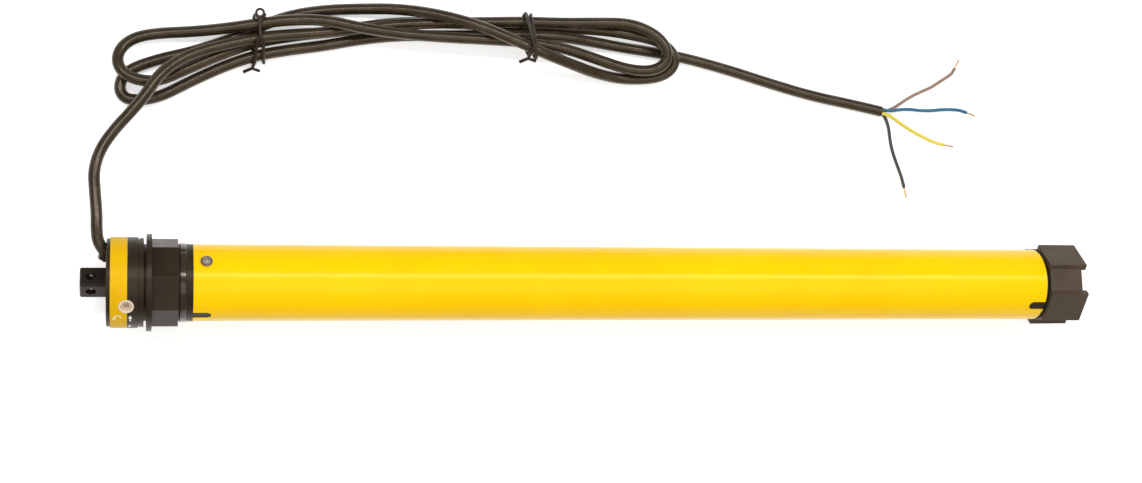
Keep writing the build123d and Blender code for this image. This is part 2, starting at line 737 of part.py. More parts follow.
# Limit adjusting screws with their hexagon sockets
for name, azimuth in zip(("limit_screw_up", "limit_screw_down"), ADJUSTER_AZIMUTHS):
    top = ADJUSTER_TOP_RADIUS - ADJUSTER_SCREW_SUNK
    with BuildPart() as limit_screw:
        radial_rod(ADJUSTER_X, azimuth, ADJUSTER_SCREW_RADIUS, top - ADJUSTER_LENGTH, top)
        with BuildSketch(radial_plane(ADJUSTER_X, azimuth, top)) as socket:
            RegularPolygon(ADJUSTER_HEX_RADIUS, 6)
        extrude(amount=-ADJUSTER_HEX_DEPTH, mode=Mode.SUBTRACT)
    save(limit_screw, name)

# Gland that holds the cable in the head
with BuildPart() as cable_gland:
    gland_shape(0, Mode.ADD)
save(cable_gland, "cable_gland")

# Plate that carries the limit switches and the counter's shafts
with BuildPart() as limit_frame:
    rod(FRAME_X, FRAME_X + FRAME_THICKNESS, HOUSING_BORE_RADIUS - SEAT_CLEARANCE)
    for distance in (COUNTER_RADIUS, CAM_AXLE_RADIUS):
        rod(
            FRAME_X,
            FRAME_X + FRAME_THICKNESS,
            COUNTER_SHAFT_RADIUS + RUNNING_CLEARANCE,
            COUNTER_AZIMUTH,
            distance,
            Mode.SUBTRACT,
        )
    rod(
        FRAME_X,
        FRAME_X + FRAME_THICKNESS,
        FRAME_WIRE_HOLE_RADIUS,
        0,
        FRAME_WIRE_HOLE_DISTANCE,
        Mode.SUBTRACT,
    )
save(limit_frame, "limit_frame")

# Limit switches on both sides of the cam
with BuildPart() as microswitches:
    for side, lift in zip((-1, 1), SWITCH_LIFTS):
        switch_plane = Plane(
            origin=(FRAME_X, side * SWITCH_OFFSET, -lift), x_dir=(0, 1, 0), z_dir=(-1, 0, 0)
        )
        with BuildSketch(switch_plane) as switch_body:
            Rectangle(SWITCH_WIDTH, SWITCH_HEIGHT)
        extrude(amount=SWITCH_DEPTH)
        plunger_plane = Plane(
            origin=(FRAME_X - SWITCH_DEPTH / 2, side * (SWITCH_OFFSET - SWITCH_WIDTH / 2), -lift),
            z_dir=(0, -side, 0),
        )
        with BuildSketch(plunger_plane) as plunger:
            Rectangle(PLUNGER_WIDTH, PLUNGER_WIDTH)
        extrude(amount=PLUNGER_LENGTH)
save(microswitches, "microswitches")

# Counter wheel, turned by the crown's ring of teeth, with its shaft and pinion
with BuildPart() as counter_gear:
    gear(
        CROWN_START + FREE_CLEARANCE,
        COUNTER_GEAR_WIDTH,
        COUNTER_TEETH,
        COUNTER_MODULE,
        COUNTER_AZIMUTH,
        COUNTER_AZIMUTH,
        COUNTER_RADIUS,
    )
    rod(
        COUNTER_SHAFT_START,
        CROWN_START + FREE_CLEARANCE,
        COUNTER_SHAFT_RADIUS,
        COUNTER_AZIMUTH,
        COUNTER_RADIUS,
    )
    gear(CAM_X, CAM_WIDTH, CAM_PINION_TEETH, CAM_MODULE, COUNTER_AZIMUTH, COUNTER_AZIMUTH, COUNTER_RADIUS)
save(counter_gear, "counter_gear")

# Cam wheel: a gear with a notched disc that works the switches
with BuildPart() as limit_cam:
    gear(CAM_X, CAM_WIDTH, CAM_TEETH, CAM_MODULE, COUNTER_AZIMUTH, COUNTER_AZIMUTH, CAM_AXLE_RADIUS)
    cam_disc_end = CAM_X + CAM_WIDTH + CAM_DISC_WIDTH
    rod(CAM_X + CAM_WIDTH, cam_disc_end, CAM_DISC_RADIUS, COUNTER_AZIMUTH, CAM_AXLE_RADIUS)
    notch_distance = CAM_AXLE_RADIUS + CAM_DISC_RADIUS
    rod(CAM_X + CAM_WIDTH, cam_disc_end, CAM_NOTCH_RADIUS, COUNTER_AZIMUTH, notch_distance, Mode.SUBTRACT)
    rod(cam_disc_end, FRAME_X + FRAME_THICKNESS, CAM_SHAFT_RADIUS, COUNTER_AZIMUTH, CAM_AXLE_RADIUS)
save(limit_cam, "limit_cam")

# Spigot of the head: the sleeve for the crown, the clip groove, the collar and the insert
with BuildPart() as head_spigot:
    turned(
        (HOUSING_END, SLEEVE_BORE_RADIUS),
        (SPIGOT_END, SLEEVE_BORE_RADIUS),
        (SPIGOT_END, INSERT_RADIUS),
        (TUBE_LEFT, INSERT_RADIUS),
        (TUBE_LEFT, COLLAR_RADIUS),
        (CLIP_END, COLLAR_RADIUS),
        (CLIP_END, CLIP_GROOVE_RADIUS),
        (SLEEVE_END, CLIP_GROOVE_RADIUS),
        (SLEEVE_END, SLEEVE_RADIUS),
        (THRUST_END, SLEEVE_RADIUS),
        (THRUST_END, THRUST_RADIUS),
        (THRUST_START, THRUST_RADIUS),
        (THRUST_START, SLEEVE_RADIUS),
        (HOUSING_END, SLEEVE_RADIUS),
    )
    for groove_x in COLLAR_GROOVE_XS:
        ring(
            groove_x,
            groove_x + COLLAR_GROOVE_WIDTH,
            COLLAR_RADIUS - COLLAR_GROOVE_DEPTH,
            COLLAR_RADIUS + CUT_OVERRUN,
            Mode.SUBTRACT,
        )
    slot_keys(TUBE_LEFT, TUBE_LEFT + SLOT_LENGTH, LEFT_SLOT_AZIMUTH)
    pocket_radius = COUNTER_MODULE * COUNTER_TEETH / 2 + COUNTER_MODULE + FREE_CLEARANCE
    rod(
        CROWN_START,
        CROWN_START + CROWN_GEAR_DEPTH,
        pocket_radius,
        COUNTER_AZIMUTH,
        COUNTER_RADIUS,
        Mode.SUBTRACT,
    )
    rod(
        HOUSING_END,
        CROWN_START,
        COUNTER_SHAFT_RADIUS + RUNNING_CLEARANCE,
        COUNTER_AZIMUTH,
        COUNTER_RADIUS,
        Mode.SUBTRACT,
    )
    for azimuth in (TUBE_SCREW_AZIMUTH, TUBE_SCREW_AZIMUTH + 180):
        radial_rod(
            TUBE_SCREW_X, azimuth, TUBE_SCREW_RADIUS + SEAT_CLEARANCE, 0, TUBE_RADIUS, Mode.SUBTRACT
        )
save(head_spigot, "head_spigot")

# Crown that the shade's tube turns: flange with inner teeth, and an eight sided body
with BuildPart() as crown:
    with BuildSketch(axial_plane(CROWN_START)) as crown_section:
        RegularPolygon(CROWN_CORNER_RADIUS, CROWN_SIDES, rotation=90 - CROWN_EDGE_AZIMUTH)
        fillet(crown_section.vertices(), CROWN_EDGE_FILLET)
    extrude(amount=CROWN_END - CROWN_START)
    rod(CROWN_START, CROWN_START + CROWN_FLANGE_THICKNESS, CROWN_FLANGE_RADIUS)
    rod(CROWN_START, CROWN_END, SLEEVE_RADIUS + RUNNING_CLEARANCE, mode=Mode.SUBTRACT)
    ring_gear_hole(CROWN_START, CROWN_GEAR_DEPTH, CROWN_GEAR_TEETH, COUNTER_MODULE, COUNTER_AZIMUTH)
    block(
        CROWN_NOTCH_X - CROWN_NOTCH_LENGTH / 2,
        CROWN_NOTCH_X + CROWN_NOTCH_LENGTH / 2,
        CROWN_NOTCH_WIDTH,
        CROWN_CORNER_RADIUS,
        CROWN_NOTCH_AZIMUTH,
        CROWN_CORNER_RADIUS,
        Mode.SUBTRACT,
    )
save(crown, "crown")

# Split ring behind the crown
with BuildPart() as crown_clip:
    turned(
        (CLIP_START, CLIP_GROOVE_RADIUS + RUNNING_CLEARANCE),
        (CLIP_END - RUNNING_CLEARANCE, CLIP_GROOVE_RADIUS + RUNNING_CLEARANCE),
        (CLIP_END - RUNNING_CLEARANCE, CLIP_RADIUS - CLIP_EDGE),
        (CLIP_END - CLIP_EDGE, CLIP_RADIUS),
        (CLIP_START + CLIP_EDGE, CLIP_RADIUS),
        (CLIP_START, CLIP_RADIUS - CLIP_EDGE),
    )
    clip_opening = 2 * CLIP_RADIUS * sin(radians(CLIP_GAP_ANGLE / 2))
    block(CLIP_START, CLIP_END, clip_opening, CLIP_RADIUS, 180, CLIP_RADIUS, Mode.SUBTRACT)
save(crown_clip, "crown_clip")

# Round tube with open slots at both ends and two small bumps
with BuildPart() as tube:
    ring(TUBE_LEFT, TUBE_RIGHT, TUBE_BORE, TUBE_RADIUS)
    for share in BUMP_SHARES:
        bump_x = TUBE_LEFT + share * (TUBE_RIGHT - TUBE_LEFT)
        radial_rod(
            bump_x, BUMP_AZIMUTH, BUMP_RADIUS, TUBE_RADIUS - TUBE_WALL / 2, TUBE_RADIUS + BUMP_HEIGHT
        )
    bump_tops = tube.faces().filter_by(GeomType.PLANE).filter_by(
        lambda face: abs(face.normal_at().X) < BUMP_HEIGHT
    )
    chamfer(bump_tops.edges(), BUMP_HEIGHT / 2)
    for open_end, closed_end, slot_azimuth in (
        (TUBE_LEFT, TUBE_LEFT + SLOT_LENGTH, LEFT_SLOT_AZIMUTH),
        (TUBE_RIGHT, TUBE_RIGHT - SLOT_LENGTH, RIGHT_SLOT_AZIMUTH),
    ):
        for azimuth in (slot_azimuth, slot_azimuth + 180):
            slot_shape(
                open_end, closed_end, 0, TUBE_RADIUS / 2, TUBE_RADIUS + CUT_OVERRUN, azimuth, Mode.SUBTRACT
            )
    for azimuth in (TUBE_SCREW_AZIMUTH, TUBE_SCREW_AZIMUTH + 180):
        radial_rod(
            TUBE_SCREW_X, azimuth, TUBE_SCREW_RADIUS + SEAT_CLEARANCE, 0, TUBE_RADIUS, Mode.SUBTRACT
        )
save(tube, "tube")

# Screws that hold the tube on the head's insert
with BuildPart() as tube_screws:
    for azimuth in (TUBE_SCREW_AZIMUTH, TUBE_SCREW_AZIMUTH + 180):
        radial_rod(TUBE_SCREW_X, azimuth, TUBE_SCREW_RADIUS, TUBE_RADIUS - TUBE_SCREW_LENGTH, TUBE_RADIUS)
        radial_rod(
            TUBE_SCREW_X,
            azimuth,
            TUBE_SCREW_HEAD_RADIUS,
            TUBE_RADIUS,
            TUBE_RADIUS + TUBE_SCREW_HEAD_HEIGHT,
        )
        slot_foot = TUBE_RADIUS + TUBE_SCREW_HEAD_HEIGHT - DRIVE_SLOT_DEPTH
        with BuildSketch(radial_plane(TUBE_SCREW_X, azimuth, slot_foot)) as cross:
            Rectangle(DRIVE_SLOT_WIDTH, TUBE_SCREW_HEAD_RADIUS, rotation=45)
            Rectangle(TUBE_SCREW_HEAD_RADIUS, DRIVE_SLOT_WIDTH, rotation=45)
        extrude(amount=DRIVE_SLOT_DEPTH, mode=Mode.SUBTRACT)
save(tube_screws, "tube_screws")

# Circuit board and terminal block in the head's insert
with BuildPart() as circuit_board:
    board_low = BOARD_DEPTH + BOARD_THICKNESS
    board_width = 2 * sqrt((SLEEVE_BORE_RADIUS - RUNNING_CLEARANCE) ** 2 - board_low**2)
    board_end = BOARD_START + BOARD_LENGTH
    block(BOARD_START, board_end, board_width, BOARD_THICKNESS, 180, BOARD_DEPTH + BOARD_THICKNESS / 2)
    block_start = BOARD_START + (BOARD_LENGTH - TERMINAL_LENGTH) / 2
    block(
        block_start,
        block_start + TERMINAL_LENGTH,
        TERMINAL_WIDTH,
        TERMINAL_HEIGHT,
        180,
        BOARD_DEPTH - TERMINAL_HEIGHT / 2,
    )
    with BuildSketch(Plane.XY.offset(TERMINAL_HEIGHT - BOARD_DEPTH)) as terminal_holes:
        with Locations((block_start + TERMINAL_LENGTH / 2, 0)):
            with GridLocations(0, TERMINAL_WIDTH / TERMINAL_HOLE_COUNT, 1, TERMINAL_HOLE_COUNT):
                Circle(TERMINAL_HOLE_RADIUS)
    extrude(amount=-TERMINAL_HEIGHT / 2, mode=Mode.SUBTRACT)
save(circuit_board, "circuit_board")

# Motor capacitor with its tabs and the ribs that hold it in the tube
with BuildPart() as capacitor:
    capacitor_end = CAPACITOR_START + CAPACITOR_LENGTH
    turned(
        (CAPACITOR_START, 0),
        (CAPACITOR_START, CAPACITOR_RADIUS - CAPACITOR_EDGE),
        (CAPACITOR_START + CAPACITOR_EDGE, CAPACITOR_RADIUS),
        (capacitor_end - CAPACITOR_EDGE, CAPACITOR_RADIUS),
        (capacitor_end, CAPACITOR_RADIUS - CAPACITOR_EDGE),
        (capacitor_end, 0),
    )
    for azimuth in (0, 180):
        tab_start = CAPACITOR_START - CAPACITOR_TAB_LENGTH
        block(
            tab_start,
            CAPACITOR_START,
            CAPACITOR_TAB_WIDTH,
            CAPACITOR_TAB_THICKNESS,
            azimuth,
            CAPACITOR_TAB_OFFSET,
        )
    for number in range(HOLDER_RIB_COUNT):
        azimuth = 360 * number / HOLDER_RIB_COUNT
        rib_low = CAPACITOR_RADIUS - HOLDER_WALL
        rib_high = INSERT_RADIUS - SEAT_CLEARANCE
        block(
            CAPACITOR_START + HOLDER_SETBACK,
            capacitor_end - HOLDER_SETBACK,
            HOLDER_RIB_WIDTH,
            rib_high - rib_low,
            azimuth,
            (rib_high + rib_low) / 2,
        )
save(capacitor, "capacitor")

# End shields of the motor, in which the rotor's shaft runs
with BuildPart() as motor_shields:
    for shield_start in (MOTOR_START, REAR_SHIELD_START):
        ring(
            shield_start, shield_start + SHIELD_THICKNESS, SHAFT_RADIUS + RUNNING_CLEARANCE, INSERT_RADIUS
        )
save(motor_shields, "motor_shields")

# Stator core with its slots, and the windings in them
with BuildPart() as stator_core:
    ring(STATOR_START, STATOR_END, STATOR_BORE_RADIUS, INSERT_RADIUS)
    for number in range(STATOR_SLOT_COUNT):
        azimuth = 360 * number / STATOR_SLOT_COUNT
        block(
            STATOR_START,
            STATOR_END,
            STATOR_SLOT_WIDTH,
            STATOR_SLOT_DEPTH,
            azimuth,
            STATOR_SLOT_CIRCLE,
            Mode.SUBTRACT,
        )
save(stator_core, "stator_core")

with BuildPart() as stator_windings:
    for start, end in (
        (STATOR_START - WINDING_LENGTH, STATOR_START), (STATOR_END, STATOR_END + WINDING_LENGTH)
    ):
        ring(start, end, WINDING_INNER_RADIUS, WINDING_OUTER_RADIUS)
    for number in range(STATOR_SLOT_COUNT):
        azimuth = 360 * number / STATOR_SLOT_COUNT
        block(
            STATOR_START - WINDING_LENGTH / 2,
            STATOR_END + WINDING_LENGTH / 2,
            STATOR_SLOT_WIDTH - 2 * SEAT_CLEARANCE,
            STATOR_SLOT_DEPTH - 2 * SEAT_CLEARANCE,
            azimuth,
            STATOR_SLOT_CIRCLE,
        )
save(stator_windings, "stator_windings")

# Rotor with its end rings, and the shaft that carries the first sun gear
with BuildPart() as rotor_core:
    turned(
        (STATOR_START - ROTOR_RING_LENGTH, SHAFT_RADIUS),
        (STATOR_START - ROTOR_RING_LENGTH, ROTOR_RING_RADIUS),
        (STATOR_START, ROTOR_RING_RADIUS),
        (STATOR_START, ROTOR_RADIUS),
        (STATOR_END, ROTOR_RADIUS),
        (STATOR_END, ROTOR_RING_RADIUS),
        (STATOR_END + ROTOR_RING_LENGTH, ROTOR_RING_RADIUS),
        (STATOR_END + ROTOR_RING_LENGTH, SHAFT_RADIUS),
    )
save(rotor_core, "rotor_core")

with BuildPart() as rotor_shaft:
    rod(MOTOR_START + SHAFT_START_SETBACK, STAGE_STARTS[0], SHAFT_RADIUS)
    gear(STAGE_STARTS[0], STAGE_WIDTHS[0], SUN_TEETH, MODULE, 0)
save(rotor_shaft, "rotor_shaft")

# Brake: coil with guide pins, sliding armature, and the disc on the rotor's shaft
with BuildPart() as brake_coil:
    coil_end = BRAKE_START + BRAKE_COIL_LENGTH
    turned(
        (BRAKE_START, BRAKE_BORE_RADIUS),
        (coil_end, BRAKE_BORE_RADIUS),
        (coil_end, INSERT_RADIUS),
        (BRAKE_START, INSERT_RADIUS),
    )
    for number in range(BRAKE_PIN_COUNT):
        azimuth = 360 * number / BRAKE_PIN_COUNT
        rod(coil_end, DISC_START, BRAKE_PIN_RADIUS, azimuth, BRAKE_PIN_CIRCLE)
save(brake_coil, "brake_coil")

with BuildPart() as brake_armature:
    ring(
        ARMATURE_START, ARMATURE_START + BRAKE_ARMATURE_THICKNESS, BRAKE_HUB_RADIUS, BRAKE_ARMATURE_RADIUS
    )
    for number in range(BRAKE_PIN_COUNT):
        azimuth = 360 * number / BRAKE_PIN_COUNT
        rod(
            ARMATURE_START,
            DISC_START,
            BRAKE_PIN_RADIUS + RUNNING_CLEARANCE,
            azimuth,
            BRAKE_PIN_CIRCLE,
            Mode.SUBTRACT,
        )
save(brake_armature, "brake_armature")

with BuildPart() as brake_disc:
    ring(DISC_START, DISC_START + BRAKE_DISC_THICKNESS, SHAFT_RADIUS, BRAKE_DISC_RADIUS)
save(brake_disc, "brake_disc")

# Ring gear that all stages share, with the gearbox's front wall
with BuildPart() as ring_gear:
    rod(GEARBOX_START, RING_END, INSERT_RADIUS)
    rod(GEARBOX_START, RING_START, MODULE * SUN_TEETH / 2 + MODULE, mode=Mode.SUBTRACT)
    ring_gear_hole(RING_START, RING_END - RING_START, RING_TEETH, MODULE, 0)
save(ring_gear, "ring_gear")

# Planet gears, with a tooth of each pointing away from the axis
for stage in range(STAGE_COUNT):
    for number in range(PLANET_COUNT):
        azimuth = 360 * number / PLANET_COUNT
        start = STAGE_STARTS[stage]
        end = start + STAGE_WIDTHS[stage]
        with BuildPart() as planet:
            gear(start, STAGE_WIDTHS[stage], PLANET_TEETH, MODULE, azimuth, azimuth, PLANET_CIRCLE)
            rod(start, end, PLANET_PIN_RADIUS + RUNNING_CLEARANCE, azimuth, PLANET_CIRCLE, Mode.SUBTRACT)
        save(planet, f"stage_{stage + 1}_planet_{number + 1}")

# Planet carriers with their pins and the sun gear of the next stage
for stage in range(STAGE_COUNT):
    plate_start = STAGE_STARTS[stage] + STAGE_WIDTHS[stage] + STAGE_GAP
    plate_end = plate_start + CARRIER_THICKNESS
    with BuildPart() as carrier:
        rod(plate_start, plate_end, CARRIER_RADIUS)
        for number in range(PLANET_COUNT):
            rod(
                STAGE_STARTS[stage],
                plate_start,
                PLANET_PIN_RADIUS,
                360 * number / PLANET_COUNT,
                PLANET_CIRCLE,
            )
        if stage + 1 < STAGE_COUNT:
            sun_end = STAGE_STARTS[stage + 1] + STAGE_WIDTHS[stage + 1]
            gear(plate_end, sun_end - plate_end, SUN_TEETH, MODULE, 0)
    save(carrier, f"carrier_{stage + 1}")

# Output shaft from the last carrier to the drive wheel
with BuildPart() as output_shaft:
    shaft_start = RING_END - STAGE_GAP
    hub_end = WHEEL_END - WHEEL_CORE_SHORT
    rod(shaft_start, WHEEL_END - SHAFT_END_SETBACK, OUTPUT_SHAFT_RADIUS)
    ring(
        hub_end + RUNNING_CLEARANCE,
        hub_end + WHEEL_CLIP_THICKNESS + 2 * SEAT_CLEARANCE,
        WHEEL_CLIP_GROOVE_RADIUS,
        OUTPUT_SHAFT_RADIUS + CUT_OVERRUN,
        Mode.SUBTRACT,
    )
    flat_height = OUTPUT_SHAFT_RADIUS
    block(
        WHEEL_START,
        hub_end,
        2 * OUTPUT_SHAFT_RADIUS,
        flat_height,
        WHEEL_EDGE_AZIMUTH,
        OUTPUT_FLAT + flat_height / 2,
        Mode.SUBTRACT,
    )
save(output_shaft, "output_shaft")

# End plug of the tube, in which the output shaft runs
with BuildPart() as output_cap:
    bush_start = TUBE_RIGHT - BUSH_LENGTH
    turned(
        (RING_END, END_CAP_SLEEVE_RADIUS),
        (bush_start, END_CAP_SLEEVE_RADIUS),
        (bush_start, OUTPUT_SHAFT_RADIUS + RUNNING_CLEARANCE),
        (TUBE_RIGHT + END_CAP_FLANGE, OUTPUT_SHAFT_RADIUS + RUNNING_CLEARANCE),
        (TUBE_RIGHT + END_CAP_FLANGE, END_CAP_FLANGE_RADIUS),
        (TUBE_RIGHT, END_CAP_FLANGE_RADIUS),
        (TUBE_RIGHT, INSERT_RADIUS),
        (RING_END, INSERT_RADIUS),
    )
    slot_keys(TUBE_RIGHT, TUBE_RIGHT - SLOT_LENGTH, RIGHT_SLOT_AZIMUTH)
save(output_cap, "output_cap")

# Drive wheel: an eight sided core with four raised pads, hollowed to a hub with ribs
with BuildPart() as drive_wheel:
    core_start = WHEEL_START + WHEEL_CORE_BACK
    with BuildSketch(axial_plane(core_start)) as core_section:
        RegularPolygon(
            WHEEL_CORE_DISTANCE,
            2 * PAD_COUNT,
            major_radius=False,
            rotation=90 / PAD_COUNT - WHEEL_EDGE_AZIMUTH,
        )
    extrude(amount=hub_end - core_start)
    for number in range(PAD_COUNT):
        azimuth = WHEEL_EDGE_AZIMUTH + 360 * (number + 1 / 2) / PAD_COUNT
        pad_low = WHEEL_CORE_DISTANCE - WHEEL_RIB_WIDTH
        block(
            WHEEL_START,
            WHEEL_END,
            PAD_WIDTH,
            PAD_DISTANCE - pad_low,
            azimuth,
            (PAD_DISTANCE + pad_low) / 2,
        )
    cup_floor = WHEEL_END - WHEEL_CUP_DEPTH
    ring(cup_floor, WHEEL_END, WHEEL_HUB_RADIUS, WHEEL_CUP_RADIUS, Mode.SUBTRACT)
    for number in range(WHEEL_RIB_COUNT):
        azimuth = WHEEL_EDGE_AZIMUTH + 360 * number / WHEEL_RIB_COUNT
        rib_low = WHEEL_HUB_RADIUS - WHEEL_RIB_WIDTH
        rib_high = WHEEL_CUP_RADIUS + WHEEL_RIB_WIDTH / 2
        block(
            cup_floor,
            hub_end - WHEEL_RIB_WIDTH,
            WHEEL_RIB_WIDTH,
            rib_high - rib_low,
            azimuth,
            (rib_high + rib_low) / 2,
        )
    with BuildSketch(axial_plane(WHEEL_START)) as wheel_bore:
        Circle(OUTPUT_SHAFT_RADIUS + RUNNING_CLEARANCE)
        flat_distance = OUTPUT_FLAT + OUTPUT_SHAFT_RADIUS / 2 + RUNNING_CLEARANCE
        flat_centre = axial_plane(0).to_local_coords(outward(WHEEL_EDGE_AZIMUTH) * flat_distance)
        with Locations(flat_centre):
            Rectangle(
                2 * OUTPUT_SHAFT_RADIUS,
                OUTPUT_SHAFT_RADIUS,
                rotation=-WHEEL_EDGE_AZIMUTH,
                mode=Mode.SUBTRACT,
            )
    extrude(amount=WHEEL_LENGTH, mode=Mode.SUBTRACT)
save(drive_wheel, "drive_wheel")

# Split washer that keeps the drive wheel on its shaft
with BuildPart() as wheel_clip:
    clip_x = hub_end + SEAT_CLEARANCE
    ring(
        clip_x,
        clip_x + WHEEL_CLIP_THICKNESS,
        WHEEL_CLIP_GROOVE_RADIUS + RUNNING_CLEARANCE,
        WHEEL_CLIP_RADIUS,
    )
    block(
        clip_x,
        clip_x + WHEEL_CLIP_THICKNESS,
        WHEEL_CLIP_GAP,
        WHEEL_CLIP_RADIUS,
        180,
        WHEEL_CLIP_RADIUS / 2,
        Mode.SUBTRACT,
    )
save(wheel_clip, "wheel_clip")

# Cable: the lead to the hank, the hank itself and the tail to the stripped end
def strand_point(strand, station):
    return Vector(
        HANK_STATIONS[station],
        PASS_ACROSS[strand][station],
        STRAND_FLOOR + HANK_LIFT[station] + PASS_LAYER[strand][station] * LAYER_PITCH,
    )


def half_turn(start, end, reach, drift, climb, count, blunt):
    """The points of one loop end between two passes of the cable."""
    points = []
    for number in range(1, count + 1):
        angle = pi * number / (count + 1)
        swing = Vector(reach, drift, climb * LAYER_PITCH) * sin(angle) ** blunt
        points.append(start + (end - start) * ((1 - cos(angle)) / 2) + swing)
    return points


def hank_route():
    points = []
    for strand in range(len(PASS_ACROSS)):
        stations = list(range(FIRST_PASS_START if strand == 0 else 0, len(HANK_STATIONS)))
        if strand % 2:
            stations.reverse()
        if strand:
            points += half_turn(points[-1], strand_point(strand, stations[0]), *HALF_TURNS[strand - 1])
        points += [strand_point(strand, station) for station in stations]
    return points


def least_gap_to_itself(path, diameter):
    """The least distance between the surfaces of two stretches of a cord that aren't next
    to each other, measured between points along it."""
    count = int(path.length / GAP_CHECK_STEP)
    places = [path @ (number / count) for number in range(count + 1)]
    reach = int(GAP_CHECK_REACH / GAP_CHECK_STEP)
    least = path.length
    for number, place in enumerate(places):
        for other in places[number + reach:]:
            if abs(place.X - other.X) < least and abs(place.Y - other.Y) < least:
                least = min(least, (place - other).length)
    return least - diameter


hank_points = hank_route()
lead_end = (Vector(*LEAD_ROUTE[-1]) + hank_points[0]) / 2
tail_start = (Vector(*TAIL_ROUTE[1]) + Vector(*TAIL_ROUTE[2])) / 2

with BuildPart() as cable_lead:
    cord([*LEAD_ROUTE, lead_end], CABLE_DIAMETER, CABLE_SIDES)
save(cable_lead, "cable_lead")

with BuildPart() as cable_hank:
    hank_path = cord([lead_end, *hank_points, *TAIL_ROUTE[:2], tail_start], CABLE_DIAMETER, CABLE_SIDES)
save(cable_hank, "cable_hank")
print(f"hank: least gap to itself {least_gap_to_itself(hank_path, CABLE_DIAMETER):.2f}")

with BuildPart() as cable_tail:
    cord([tail_start, *TAIL_ROUTE[2:]], CABLE_DIAMETER, CABLE_SIDES)
save(cable_tail, "cable_tail")

# Insulated wires that fan out from the sheath, and their bare tips
sheath_end = Vector(*TAIL_ROUTE[-1])
tail_direction = (sheath_end - Vector(*TAIL_ROUTE[-2])).normalized()
tail_across = Vector(-tail_direction.Y, tail_direction.X, 0)
for name, (across, up) in WIRE_PLACES.items():
    start = sheath_end + (tail_across * across + Vector(0, 0, up)) * WIRE_OFFSET
    with BuildPart() as wire:
        cord(
            [start, start + tail_direction * WIRE_DIAMETER, *WIRE_ROUTES[name]], WIRE_DIAMETER, WIRE_SIDES
        )
    save(wire, f"wire_{name}")

with BuildPart() as conductor_tips:
    for route in WIRE_ROUTES.values():
        tip_start = Vector(*route[-1])
        tip_direction = (tip_start - Vector(*route[-2])).normalized()
        cord([tip_start, tip_start + tip_direction * TIP_LENGTH], TIP_DIAMETER, WIRE_SIDES)
save(conductor_tips, "conductor_tips")


# Ties round the hank
def tie_point(x, azimuth, distance):
    """A point at this distance outside all strands at this x, in the direction of the
    azimuth. A strand that leans reaches further than one that runs straight along X."""
    last = max(number for number, station in enumerate(HANK_STATIONS[:-1]) if station <= x)
    span = HANK_STATIONS[last + 1] - HANK_STATIONS[last]
    away = outward(azimuth)
    surfaces = []
    for strand in range(len(PASS_ACROSS)):
        lean = (strand_point(strand, last + 1) - strand_point(strand, last)) / span
        centre = strand_point(strand, last) + lean * (x - HANK_STATIONS[last])
        reach = CABLE_DIAMETER / 2 * sqrt(1 + lean.dot(away) ** 2) + abs(lean.dot(away)) * TIE_WIDTH / 2
        surfaces.append(centre + away * reach)
    return max(surfaces, key=lambda surface: surface.dot(away)) + away * distance


def tie_outline(x, distance):
    """The points of a closed loop round all strands, across the motor's direction."""
    azimuths = [360 * number / TIE_STEPS for number in range(TIE_STEPS)]
    points = [tie_point(x, azimuth, distance) for azimuth in azimuths]
    return [(point.Y, point.Z) for point in points]


for name, tie_x in (("hank_tie_left", LEFT_TIE_X), ("hank_tie_right", RIGHT_TIE_X)):
    with BuildPart() as hank_tie:
        tie_plane = Plane(origin=(tie_x, 0, 0), x_dir=(0, 1, 0), z_dir=(1, 0, 0))
        middle_x = tie_x + TIE_WIDTH / 2
        with BuildSketch(tie_plane) as band:
            for distance, mode in (
                (TIE_CLEARANCE + TIE_THICKNESS, Mode.ADD), (TIE_CLEARANCE, Mode.SUBTRACT)
            ):
                with BuildLine(mode=Mode.PRIVATE) as loop:
                    Polyline(*tie_outline(middle_x, distance), close=True)
                make_face(loop.edges(), mode=mode)
        extrude(amount=TIE_WIDTH)
        end_point = tie_point(middle_x, TIE_END_AZIMUTH, TIE_CLEARANCE + TIE_THICKNESS / 2)
        with BuildSketch(Plane(origin=end_point, z_dir=outward(TIE_END_AZIMUTH))) as tie_end:
            Rectangle(TIE_THICKNESS, TIE_THICKNESS)
        extrude(amount=TIE_END_LENGTH)
        if tie_x == LEFT_TIE_X:
            ear_distance = TIE_CLEARANCE + TIE_THICKNESS / 2 + TIE_EAR_RADIUS
            ear_centre = tie_point(middle_x, TIE_EAR_AZIMUTH, ear_distance)
            with BuildSketch(Plane(origin=ear_centre - Vector(0, 0, TIE_THICKNESS / 2))) as ear:
                Circle(TIE_EAR_RADIUS)
                Circle(TIE_EAR_RADIUS - TIE_THICKNESS, mode=Mode.SUBTRACT)
            extrude(amount=TIE_THICKNESS)
    save(hank_tie, name)
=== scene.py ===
import json
from math import cos, degrees, pi, radians, sin, sqrt

